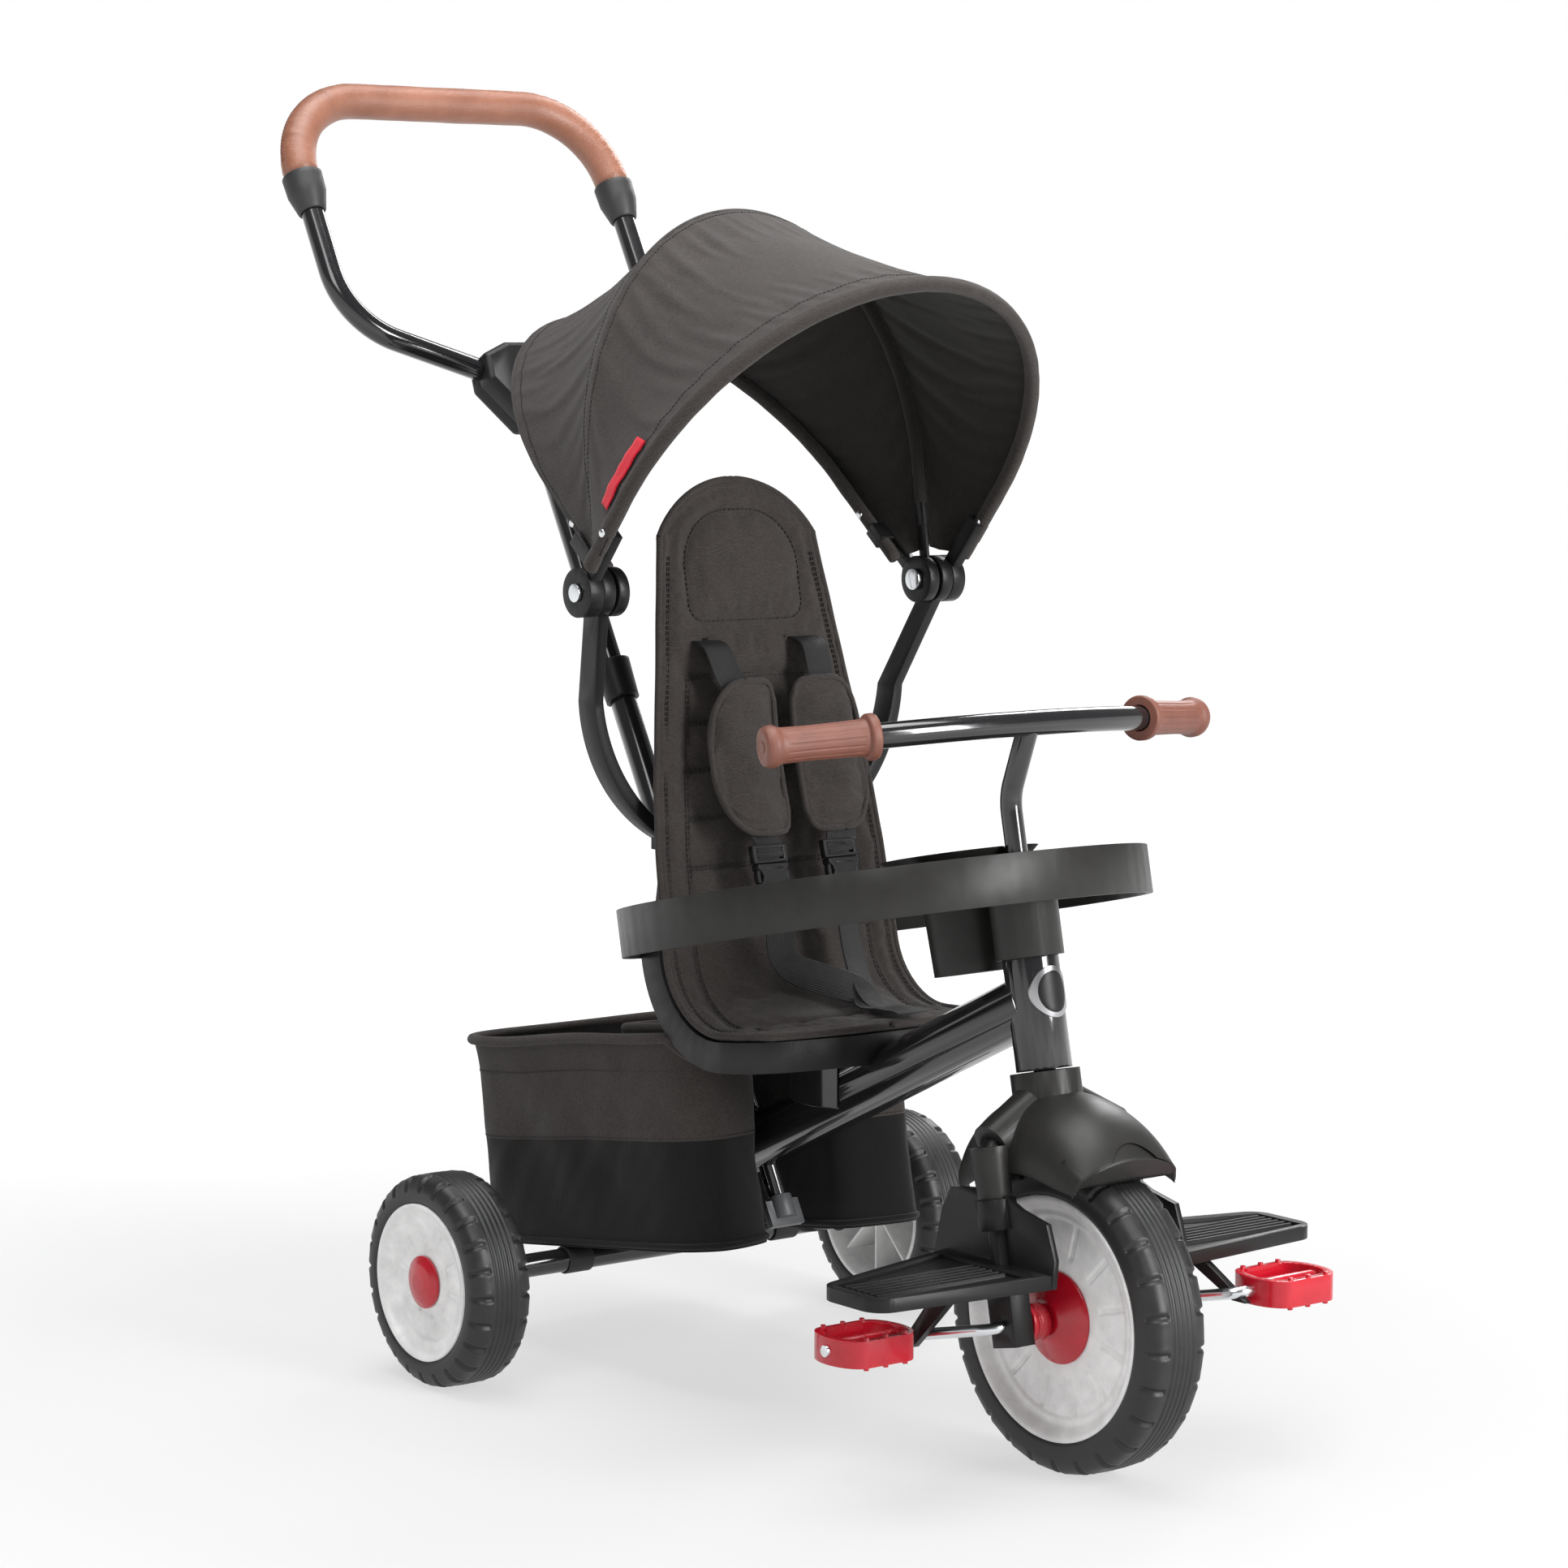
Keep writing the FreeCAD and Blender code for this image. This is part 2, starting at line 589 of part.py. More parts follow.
def cloth_section(tilt, half_width, rise, centre):
    """Cross-section of the cloth in a bow's plane: two arches and the strips that close them."""
    inner = BOW_R + GAP
    outer = inner + CLOTH
    foot = 34.0
    out_edges = bow_wire(half_width + outer, rise + outer, centre, foot)
    in_edges = bow_wire(half_width + inner, rise + inner, centre, foot)
    caps = []
    for side in (-1, 1):
        caps.append(Part.LineSegment(V(side * (half_width + outer), 0, foot),
                                     V(side * (half_width + inner), 0, foot)).toShape())
    wire = Part.Wire(Part.sortEdges(list(out_edges) + list(in_edges) + caps)[0])
    return bow_frame(wire, tilt)


def bracket_room(name):
    """Space round a bow's two brackets that the cloth keeps clear of."""
    tilt, half_width = BOWS[name][:2]
    high_x = max(half_width + 3, REAR_DISC_X[0] + 4) + GAP
    room = box(half_width - 20, high_x, -6 - GAP, 6 + GAP, 0, BRACKET_TOP + GAP)
    return bow_frame(fuse([room, mirrored(room)]), tilt)


def make_panel(back, front, sag):
    """Cloth between two bows, a thin closed shell that sinks a little at mid span."""
    first, last = BOWS[back], BOWS[front]
    middle = [0.5 * (a + b) for a, b in zip(first, last)]
    middle[2] -= sag
    sections = [cloth_section(first[0] + 0.4, *first[1:]), cloth_section(*middle),
                cloth_section(last[0] - 0.4, *last[1:])]
    cloth = Part.makeLoft(sections, True, True)
    return largest(cloth.cut(bracket_room(back)).cut(bracket_room(front)))


def make_canopy_arm():
    """Left arm: a curved blade from the back of the seat shell up to the pivot head."""
    head = cylinder(V(ARM_HEAD_X[0], HUB.y, HUB.z), V(ARM_HEAD_X[1], HUB.y, HUB.z), HUB_R)
    top = Part.makePolygon([V(162, -12, 622), V(172, -12, 622), V(172, 8, 622), V(162, 8, 622), V(162, -12, 622)])
    waist = Part.makePolygon([V(145, 20, 545), V(154, 20, 545), V(154, 42, 545), V(145, 42, 545), V(145, 20, 545)])
    upper = Part.makeLoft([top, waist], True, True)
    outer_arc = Part.Arc(V(154, 31, 545), V(131, 31, 476), V(70, 31, 426)).toShape()
    inner_arc = Part.Arc(V(70, 31, 436), V(122, 31, 482), V(145, 31, 545)).toShape()
    ends = [Part.LineSegment(V(70, 31, 426), V(70, 31, 436)).toShape(),
            Part.LineSegment(V(145, 31, 545), V(154, 31, 545)).toShape()]
    face = Part.Face(Part.Wire(Part.sortEdges([outer_arc, inner_arc] + ends)[0]))
    lower = face.extrude(V(0, 22, 0))
    lower.translate(V(0, -11, 0))
    foot = box(58, 84, 14, 42, 424, 440)
    body = fuse([head, upper, lower, foot]).cut(make_seat()[1])
    return largest(body.cut(cylinder(V(100, HUB.y, HUB.z), V(200, HUB.y, HUB.z), BOLT_R)))


def make_pivot_bolt():
    shank = cylinder(HUB + V(147, 0, 0), HUB + V(187, 0, 0), BOLT_R)
    head = cylinder(HUB + V(145, 0, 0), HUB + V(148.5, 0, 0), 8.5)
    nut = cylinder(HUB + V(186, 0, 0), HUB + V(188.5, 0, 0), 7.0)
    return fuse([shank, head, nut])


# ---- seat -----------------------------------------------------------------------
def side_face(near, far):
    """Side view band of the seat between two offsets behind and below the padded surface."""
    def offsets(t):
        top, corner, nose = (V(0, *SEAT_BACK_TOP), V(0, *SEAT_CORNER), V(0, *SEAT_NOSE))
        up = (top - corner).normalize()
        out = (nose - corner).normalize()
        back_normal = V(0, up.z, -up.y)
        under_normal = V(0, out.z, -out.y) * -1 if out.y > 0 else V(0, out.z, -out.y) * 1
        if under_normal.z > 0:
            under_normal = under_normal * -1
        half = 0.5 * up.getAngle(out)
        reach = SEAT_BEND / math.tan(half)
        centre = corner + (up + out).normalize() * (SEAT_BEND / math.sin(half))
        first = corner + up * reach + back_normal * t
        last = corner + out * reach + under_normal * t
        middle = centre + (corner - centre).normalize() * (SEAT_BEND + t)
        return top + back_normal * t, first, middle, last, nose + under_normal * t

    a = offsets(near)
    b = offsets(far)
    edges = [Part.LineSegment(a[0], a[1]).toShape(), Part.Arc(a[1], a[2], a[3]).toShape(),
             Part.LineSegment(a[3], a[4]).toShape(), Part.LineSegment(a[4], b[4]).toShape(),
             Part.LineSegment(b[4], b[3]).toShape(), Part.Arc(b[3], b[2], b[1]).toShape(),
             Part.LineSegment(b[1], b[0]).toShape(), Part.LineSegment(b[0], a[0]).toShape()]
    return Part.Face(Part.Wire(edges))


def seat_mask(inset, back_inset=0.0):
    """Front view outline above the pan and plan outline of the pan, both pulled in by the insets."""
    k, b = inset, inset + back_inset
    right = [V(-117 + k, 0, 322), V(-116 + k, 0, 352), V(-113 + b, 0, 425), V(-108 + b, 0, 480),
             V(-95 + b, 0, 560), V(-79 + b, 0, 668)]
    left = [V(-p.x, 0, p.z) for p in reversed(right)]
    edges = [Part.LineSegment(p, q).toShape() for p, q in zip(right, right[1:])]
    edges.append(Part.Arc(right[-1], V(0, 0, 716 - b), left[0]).toShape())
    edges += [Part.LineSegment(p, q).toShape() for p, q in zip(left, left[1:])]
    edges.append(Part.LineSegment(left[-1], right[0]).toShape())
    back = Part.Face(Part.Wire(edges)).extrude(V(0, 400, 0))
    back.translate(V(0, -300, 0))
    flank = [V(-117 + k, 90, 0), V(-117 + k, -96, 0), V(-110 + k, -120, 0), V(-92 + k, -136 + k, 0)]
    other = [V(-p.x, p.y, 0) for p in reversed(flank)]
    plan = [Part.LineSegment(p, q).toShape() for p, q in zip(flank, flank[1:])]
    plan.append(Part.Arc(flank[-1], V(0, -157 + k, 0), other[0]).toShape())
    plan += [Part.LineSegment(p, q).toShape() for p, q in zip(other, other[1:])]
    plan.append(Part.LineSegment(other[-1], flank[0]).toShape())
    pan = Part.Face(Part.Wire(plan)).extrude(V(0, 0, 150))
    pan.translate(V(0, 0, 200))
    low_back = back.common(box(-200, 200, -60, 100, 322, 800))
    return fuse([low_back, pan])


def seat_layer(near, far, inset=0.0, back_inset=0.0):
    slab = side_face(near, far).extrude(V(260, 0, 0))
    slab.translate(V(-130, 0, 0))
    return slab.common(seat_mask(inset, back_inset))


def main_tube_cutter(clearance):
    return cylinder(MAIN_TOP, MAIN_END, MAIN_TUBE_R + clearance)


def make_seat():
    liner = seat_layer(0, LINER_T).cut(main_tube_cutter(GAP))
    base = LINER_T + 0.3
    back = seat_layer(base, base + SHELL_THIN, 0.0, SHELL_INSET)
    back = back.cut(seat_layer(base + SHELL_SKIN, base + SHELL_THIN + 20, 4.0, SHELL_INSET))
    pan = seat_layer(base, base + SHELL_DEEP).cut(seat_layer(base + SHELL_SKIN, base + SHELL_DEEP + 20, 4.0))
    shell = fuse([back.common(box(-200, 200, -200, 200, 352, 800)), pan.common(box(-200, 200, -200, 200, 200, 352.5))])
    shell = shell.cut(main_tube_cutter(0.0))
    for x in (-48, 48):
        slot = box(x - 18, x + 18, -40, 120, 585, 591)
        liner = liner.cut(slot)
        shell = shell.cut(slot)
    return liner, largest(shell)


def make_seat_bracket():
    """Folded steel bracket that carries the pan on the main tube."""
    top = seat_layer(LINER_T + 0.3 + SHELL_SKIN, LINER_T + 0.3 + SHELL_SKIN + 3)
    top = top.common(box(-26, 26, -128, -52, 200, 400))
    legs = [box(x0, x0 + 3, -120, -60, 205, 320) for x0 in (-24, 21)]
    under = seat_layer(LINER_T + 0.3 + SHELL_SKIN, LINER_T + 60)
    legs = [leg.common(under) for leg in legs]
    body = fuse([top] + legs)
    return body.cut(main_tube_cutter(0.0))


# ---- harness --------------------------------------------------------------------
def seat_surface(z):
    """Y of the padded back at a height."""
    (y1, z1), (y0, z0) = SEAT_BACK_TOP, SEAT_CORNER
    return y0 + (y1 - y0) * (z - z0) / (z1 - z0)


def ribbon(points, width, thickness, offset_x):
    """Flat strap through (y, z) points, drawn in side view and given its width along X."""
    upper, lower = [], []
    for index, point in enumerate(points):
        before = points[max(index - 1, 0)]
        after = points[min(index + 1, len(points) - 1)]
        run = V(0, after[0] - before[0], after[1] - before[1]).normalize()
        normal = V(0, run.z, -run.y)
        here = V(0, point[0], point[1])
        upper.append(here - normal * (thickness / 2))
        lower.append(here + normal * (thickness / 2))
    solid = polygon(upper + lower[::-1]).extrude(V(width, 0, 0))
    solid.translate(V(offset_x - width / 2, 0, 0))
    return solid


def make_harness():
    """Left half, hanging forward of the pad: strap, shoulder pad, tail, buckle, waist and crotch straps."""
    slot_z = 588.0
    face_y = seat_surface(slot_z)
    strap = ribbon([(face_y + 6, slot_z), (face_y - 6, slot_z - 1), (face_y - 14, 574), (-9, 558)], 24, 1.6, 49)
    pad = ribbon([(-9, 556), (-15, 520), (-26, 480), (-38, 442)], 62, 11, 44)
    tail = ribbon([(-38.4, 440), (-44, 432)], 24, 1.6, 38)
    buckle = ribbon([(-45, 431), (-54, 398)], 34, 11, 35)
    waist = ribbon([(-54.4, 397), (-66, 350), (-92, 316), (-118, 311)], 24, 1.6, 33)
    crotch = ribbon([(-119, 311.2), (-155, 314)], 24, 1.6, 20)
    return strap, pad, tail, buckle, waist, crotch


# ---- tray hoop ------------------------------------------------------------------
def make_tray():
    """Open hoop, and the console that joins its front to the column and carries the cup holder."""
    bottom = TRAY_TOP - TRAY_H
    centre = V(0, TRAY_CENTRE_B, bottom)
    band = pipe(centre, centre + V(0, 0, TRAY_H), TRAY_R, TRAY_R - TRAY_WALL)
    lip = pipe(centre + V(0, 0, TRAY_H - 5), centre + V(0, 0, TRAY_H - 2), TRAY_R - 2, TRAY_R - 7)
    hoop = fuse([band, lip])
    plate = Part.makeCylinder(TRAY_R - TRAY_WALL, 4, V(0, TRAY_CENTRE_B, TRAY_TOP - 14))
    plate = plate.cut(Part.makeCylinder(172, 40, V(0, TRAY_CENTRE_B + 62, TRAY_TOP - 30)))
    cup_foot = TRAY_TOP - 82
    dish = Part.makeCone(38, DISH_R, 20, V(0, CUP_B, TRAY_TOP - 12))
    cup = Part.makeCone(CUP_R - 3, CUP_R, 72, V(0, CUP_B, cup_foot))
    inner_cup = Part.makeCone(CUP_R - 5.5, CUP_R - 2.5, 90, V(0, CUP_B, cup_foot + 2.5))
    inner_dish = Part.makeCone(35.5, DISH_R - 1.5, 19, V(0, CUP_B, TRAY_TOP - 10))
    top_clear = Part.makeCylinder(DISH_R - 1.5, 10, V(0, CUP_B, TRAY_TOP + 8.9))
    collar = Part.makeCylinder(25.5, TRAY_TOP - 12 - 263, V(0, 0, 263))
    console = fuse([plate, dish, cup, collar])
    console = console.cut(inner_cup).cut(inner_dish).cut(top_clear).cut(lip)
    console = console.cut(Part.makeCylinder(HEAD_R, HEAD_T[1] - 262, V(0, 0, 262)))
    console = console.cut(Part.makeCylinder(STEM_R + 1.5, 120, V(0, 0, 260)))
    return steer(hoop).cut(seat_layer(0, LINER_T + SHELL_DEEP + 1.3, -2.0)), steer(console)


# ---- storage bag ----------------------------------------------------------------
def bag_outline(inset):
    k = inset
    notch = 32 + k
    half = [V(notch, 22 + k, 0), V(notch, -163 + k, 0), V(96 - k, -200 + k * 1.6, 0), V(117 - k, -150, 0),
            V(117 - k, 112, 0)]
    other = [V(-p.x, p.y, 0) for p in reversed(half)]
    edges = [Part.LineSegment(p, q).toShape() for p, q in zip(half, half[1:])]
    edges.append(Part.Arc(half[-1], V(0, 150 - k, 0), other[0]).toShape())
    edges += [Part.LineSegment(p, q).toShape() for p, q in zip(other, other[1:])]
    edges.append(Part.LineSegment(other[-1], half[0]).toShape())
    return Part.Face(Part.Wire(edges))


def make_bag():
    outer = bag_outline(0).extrude(V(0, 0, BAG_H))
    inner = bag_outline(BAG_WALL).extrude(V(0, 0, BAG_H))
    inner.translate(V(0, 0, BAG_WALL))
    body = leaned(outer.cut(inner), BAG_ORIGIN, BAG_TILT)
    return body.cut(seat_layer(0, LINER_T + SHELL_DEEP + 1.3, -2.0))


def make_bag_loop():
    """Left webbing loop round the axle tube."""
    centre = REAR_AXLE + V(105, 0, 0)
    return pipe(centre - V(12, 0, 0), centre + V(12, 0, 0), AXLE_TUBE_R + 1.8, AXLE_TUBE_R)


# ---- build ----------------------------------------------------------------------
def build_frame():
    export("main_frame", make_main_frame())
    export("head_bushes", *make_head_bushes())
    export("head_badge", make_head_badge())
    rod, bush = make_rear_axle()
    export("rear_axle_rod", rod)
    export("axle_bushes", bush, mirrored(bush))
    liner, shell = make_seat()
    export("seat_liner", liner)
    export("seat_shell", shell)
    export("seat_bracket", make_seat_bracket())
    strap, pad, tail, buckle, waist, crotch = make_harness()
    for name, shape in (("shoulder_pad", pad), ("buckle", buckle)):
        export(name + "_left", shape)
        export(name + "_right", mirrored(shape))
    for name, shape in (("shoulder_straps", strap), ("strap_tails", tail), ("waist_straps", waist),
                        ("crotch_straps", crotch)):
        export(name, shape, mirrored(shape))
    hoop, console = make_tray()
    export("tray_hoop", hoop)
    export("tray_console", console)
    export("storage_bag", make_bag())
    loop = make_bag_loop()
    export("bag_loops", loop, mirrored(loop))
    arm = make_canopy_arm()
    export("canopy_arm_left", arm)
    export("canopy_arm_right", mirrored(arm))
    bolt = make_pivot_bolt()
    export("canopy_pivot_bolts", bolt, mirrored(bolt))


def build_canopy():
    for name in BOWS:
        export("canopy_%s_bow" % name, make_bow(name))
    export("canopy_rear_panel", make_panel("rear", "mid", CLOTH_SAG["rear"]))
    export("canopy_front_panel", make_panel("mid", "front", CLOTH_SAG["front"]))


def build_handle():
    export("push_pole_lower", make_lower_pole())
    collar, button = make_height_collar()
    export("height_collar", collar)
    export("height_button", button)
    export("wing_knob", make_wing_knob())
    export("push_pole_upper", pole(make_upper_pole()))
    front, rear = make_handle_hub()
    export("handle_hub_front", front)
    export("handle_hub_rear", rear)
    export("handle_loop", pole(loop_solid(POLE_IN_R)))
    export("handle_wrap", pole(make_handle_wrap()))
    cuff = make_cuff()
    export("handle_cuffs", pole(cuff), pole(mirrored(cuff)))


def build_steering():
    export("steering_stem", make_stem())
    export("handlebar", handlebar_solid(BAR_R))
    grip = make_grip()
    export("grip_right", grip)
    export("grip_left", mirrored(grip))
    export("fork", make_fork())
    export("front_fender", FENDER)
    export("pedal_crank", make_crank())
    for side, name in ((1, "left"), (-1, "right")):
        export("footrest_" + name, make_footrest(side))
        export("pedal_" + name, make_pedal(side))


def build_wheels():
    tyre, rim, cap = make_rear_wheel()
    for name, shape in (("tyre", tyre), ("rim", rim), ("hub_cap", cap)):
        export("rear_%s_left" % name, shape)
        export("rear_%s_right" % name, mirrored(shape))
    tyre, rim, left_hub, right_hub, sleeve = make_front_wheel()
    export("front_tyre", tyre)
    export("front_rim", rim)
    export("front_hubs", left_hub, right_hub)
    export("clutch_sleeve", sleeve)


build_frame()
build_canopy()
build_handle()
build_steering()
build_wheels()
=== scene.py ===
"""Looks of the children's tricycle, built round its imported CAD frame. Metres throughout."""
import json
import math
import bmesh
import bpy
import numpy as np
from mathutils import Matrix, Vector, noise


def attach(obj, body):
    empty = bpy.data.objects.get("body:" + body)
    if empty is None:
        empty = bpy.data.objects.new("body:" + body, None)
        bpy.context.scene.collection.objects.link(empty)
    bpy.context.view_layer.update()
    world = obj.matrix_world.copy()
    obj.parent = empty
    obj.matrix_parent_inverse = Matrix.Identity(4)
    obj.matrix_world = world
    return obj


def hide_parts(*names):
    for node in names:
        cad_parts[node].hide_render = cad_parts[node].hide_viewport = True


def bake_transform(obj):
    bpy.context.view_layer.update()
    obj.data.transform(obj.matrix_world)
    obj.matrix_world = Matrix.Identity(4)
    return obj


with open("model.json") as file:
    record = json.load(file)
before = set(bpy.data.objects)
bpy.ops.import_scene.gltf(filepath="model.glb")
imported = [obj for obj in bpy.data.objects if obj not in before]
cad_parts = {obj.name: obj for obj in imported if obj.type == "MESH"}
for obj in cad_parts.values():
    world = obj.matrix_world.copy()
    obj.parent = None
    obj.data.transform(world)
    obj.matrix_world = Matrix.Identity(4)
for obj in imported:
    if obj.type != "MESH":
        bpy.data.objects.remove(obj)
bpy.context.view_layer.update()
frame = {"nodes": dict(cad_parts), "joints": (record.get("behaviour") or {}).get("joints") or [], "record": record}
JOINTS = {j["name"]: j for j in frame["joints"]}
NODES = frame["nodes"]
MM = 0.001
SIDES = {"left": 1, "right": -1}

# ---- places taken from the frame ----------------------------------------------
FRONT_AXLE = Vector(JOINTS["front_wheel_spin"]["pos_m"])
REAR_AXLE = Vector((0, *JOINTS["rear_wheel_left_spin"]["pos_m"][1:]))
STEER_AXIS = Vector(JOINTS["steer"]["axis"]).normalized()
POLE_AXIS = Vector(JOINTS["handle_height"]["axis"]).normalized()
HUB = Vector(JOINTS["canopy_tilt"]["pos_m"])
X_AXIS = Vector((1, 0, 0))
FORWARD = Vector((0, -1, 0))
UP = Vector((0, 0, 1))
STEER_BACK = X_AXIS.cross(STEER_AXIS) * -1
POLE_BACK = X_AXIS.cross(POLE_AXIS) * -1

# ---- sizes that the CAD part is driven by --------------------------------------
POLE_ORIGIN = Vector((0, 162.3, 464.2)) * MM
# each canopy bow: tilt in degrees, half width, height and height of its arch's centre
BOWS = {"rear": (-50.0, 0.143, 0.322, 0.120),
        "mid": (-8.0, 0.161, 0.293, 0.090),
        "front": (40.0, 0.185, 0.306, 0.090)}
CLOTH_FOOT = 0.026
SEAT_TOP = Vector((0, 45, 715)) * MM
SEAT_CORNER = Vector((0, -35, 296)) * MM
SEAT_NOSE = Vector((0, -159, 307)) * MM
SEAT_BEND = 0.060


# ---- mesh helpers ---------------------------------------------------------------
def linked(name, data):
    """New object in the scene with this data."""
    obj = bpy.data.objects.new(name, data)
    bpy.context.scene.collection.objects.link(obj)
    return obj


def smoothed(obj):
    for polygon in obj.data.polygons:
        polygon.use_smooth = True
    return obj


def make_object(name, verts, faces, material):
    mesh = bpy.data.meshes.new(name)
    mesh.from_pydata([tuple(v) for v in verts], [], faces)
    mesh.materials.append(material)
    mesh.validate()
    return smoothed(linked(name, mesh))


def grid_faces(rows, cols, wrap_rows=False, wrap_cols=False):
    faces = []
    for i in range(rows if wrap_rows else rows - 1):
        for j in range(cols if wrap_cols else cols - 1):
            a, b = i * cols, (i + 1) % rows * cols
            k = (j + 1) % cols
            faces.append((a + j, a + k, b + k, b + j))
    return faces


def set_uv(obj, coordinates):
    """Write a (u, v) pair per vertex, in metres, as the UV map."""
    layer = obj.data.uv_layers.new(name="cloth")
    for loop in obj.data.loops:
        layer.data[loop.index].uv = coordinates[loop.vertex_index]


def modifier(obj, kind, **settings):
    made = obj.modifiers.new(kind.lower(), kind)
    for key, value in settings.items():
        setattr(made, key, value)
    return made


def apply_modifiers(obj):
    bpy.context.view_layer.update()
    graph = bpy.context.evaluated_depsgraph_get()
    mesh = bpy.data.meshes.new_from_object(obj.evaluated_get(graph))
    old = obj.data
    obj.modifiers.clear()
    obj.data = mesh
    bpy.data.meshes.remove(old)
    return obj


def smooth_path(points, count):
    """Evenly spaced points on a Catmull-Rom curve through the given ones."""
    pts = [Vector(p) for p in points]
    pts = [pts[0] * 2 - pts[1]] + pts + [pts[-1] * 2 - pts[-2]]
    fine = []
    for p0, p1, p2, p3 in zip(pts, pts[1:], pts[2:], pts[3:]):
        for k in range(24):
            t = k / 24
            fine.append(0.5 * ((2 * p1) + (p2 - p0) * t + (2 * p0 - 5 * p1 + 4 * p2 - p3) * t * t
                               + (3 * p1 - p0 - 3 * p2 + p3) * t ** 3))
    fine.append(pts[-2])
    return even_path(fine, count)


def even_path(points, count):
    lengths = [0.0]
    for a, b in zip(points, points[1:]):
        lengths.append(lengths[-1] + (b - a).length)
    out = []
    for target in np.linspace(0, lengths[-1], count):
        k = min(int(np.searchsorted(lengths, target, side="right")) - 1, len(points) - 2)
        k = max(k, 0)
        span = max(lengths[k + 1] - lengths[k], 1e-12)
        out.append(points[k].lerp(points[k + 1], (target - lengths[k]) / span))
    return out


def path_frames(points, side):
    """(point, tangent, side, normal) along a path, with the side vector kept close to the given one."""
    frames = []
    for index, point in enumerate(points):
        before = points[max(index - 1, 0)]
        after = points[min(index + 1, len(points) - 1)]
        tangent = (after - before).normalized()
        across = (side - tangent * side.dot(tangent)).normalized()
        frames.append((point, tangent, across, tangent.cross(across)))
    return frames


def tube_object(name, points, radius, material, side, ring, closed=False):
    """Round tube along points; radius is a number or a function of (share of length, angle)."""
    frames = path_frames(points, side)
    verts = []
    for index, (point, _, across, normal) in enumerate(frames):
        share = index / (len(frames) - 1)
        for k in range(ring):
            angle = 2 * math.pi * k / ring
            r = radius(share, angle) if callable(radius) else radius
            verts.append(point + (across * math.cos(angle) + normal * math.sin(angle)) * r)
    faces = grid_faces(len(frames), ring, wrap_cols=True)
    if not closed:
        faces.append(tuple(range(ring - 1, -1, -1)))
        faces.append(tuple(range(len(verts) - ring, len(verts))))
    return make_object(name, verts, faces, material)


def strap_object(name, points, width_direction, width, thickness, material, steps):
    """Flat webbing along a smooth path."""
    frames = path_frames(smooth_path(points, steps), width_direction)
    verts = []
    profile = [(-1, -0.6), (-0.97, -1), (0.97, -1), (1, -0.6), (1, 0.6), (0.97, 1), (-0.97, 1), (-1, 0.6)]
    for point, _, across, normal in frames:
        for a, b in profile:
            verts.append(point + across * (a * width / 2) + normal * (b * thickness / 2))
    faces = grid_faces(len(frames), len(profile), wrap_cols=True)
    faces.append(tuple(range(len(profile) - 1, -1, -1)))
    faces.append(tuple(range(len(verts) - len(profile), len(verts))))
    obj = make_object(name, verts, faces, material)
    coordinates = []
    for index in range(len(frames)):
        for a, b in profile:
            coordinates.append((a * width / 2, index * 0.004))
    set_uv(obj, coordinates)
    return obj


def lathe_object(name, profile, centre, material, angles, shape=None, axis=X_AXIS, closed=True):
    """Turn (along, radius) points about an axis; shape(along, r, angle) may move a point."""
    first = axis.orthogonal().normalized()
    second = axis.cross(first)
    verts = []
    for angle in angles:
        outward = first * math.cos(angle) + second * math.sin(angle)
        for x, r in profile:
            if shape:
                x, r = shape(x, r, angle)
            verts.append(centre + axis * x + outward * r)
    faces = grid_faces(len(angles), len(profile), wrap_rows=True, wrap_cols=closed)
    return face_outward(make_object(name, verts, faces, material))


def even_angles(count):
    return [2 * math.pi * k / count for k in range(count)]


def marked_angles(count, fine, fine_steps, coarse_steps):
    """Angles that are close together round each of count marks and wider apart between them."""
    pitch = 2 * math.pi / count
    local = [fine * (2 * k / fine_steps - 1) for k in range(fine_steps + 1)]
    rest = pitch - 2 * fine
    local += [fine + rest * k / coarse_steps for k in range(1, coarse_steps)]
    return sorted((m * pitch + a) % (2 * math.pi) for m in range(count) for a in local)


def mark_distance(angle, count):
    """Signed angle to the nearest of count evenly spaced marks."""
    pitch = 2 * math.pi / count
    return (angle + pitch / 2) % pitch - pitch / 2


def face_outward(obj):
    made = bmesh.new()
    made.from_mesh(obj.data)
    bmesh.ops.recalc_face_normals(made, faces=made.faces)
    made.to_mesh(obj.data)
    made.free()
    return obj


def box_mesh(name, boxes, material, bevel):
    """Bevelled bricks, each given by its centre, its three half-size vectors."""
    verts, faces = [], []
    corners = [(i, j, k) for k in (-1, 1) for i, j in ((-1, -1), (1, -1), (1, 1), (-1, 1))]
    quads = [(0, 3, 2, 1), (4, 5, 6, 7), (0, 1, 5, 4), (1, 2, 6, 5), (2, 3, 7, 6), (3, 0, 4, 7)]
    for centre, a, b, c in boxes:
        base = len(verts)
        verts += [centre + a * i + b * j + c * k for i, j, k in corners]
        faces += [tuple(base + q for q in quad) for quad in quads]
    obj = face_outward(make_object(name, verts, faces, material))
    if bevel:
        modifier(obj, "BEVEL", width=bevel, segments=2)
        apply_modifiers(obj)
    return obj


def dome_object(name, centre, axis, radius, height, material):
    """Low rounded rivet head."""
    rings, turns = 6, 20
    profile = [(height * math.sin(k / rings * math.pi / 2), radius * math.cos(k / rings * math.pi / 2))
               for k in range(rings)]
    profile.append((height, 0.00002))
    return lathe_object(name, [(-0.001, radius)] + profile, centre, material, even_angles(turns), axis=axis,
                        closed=False)


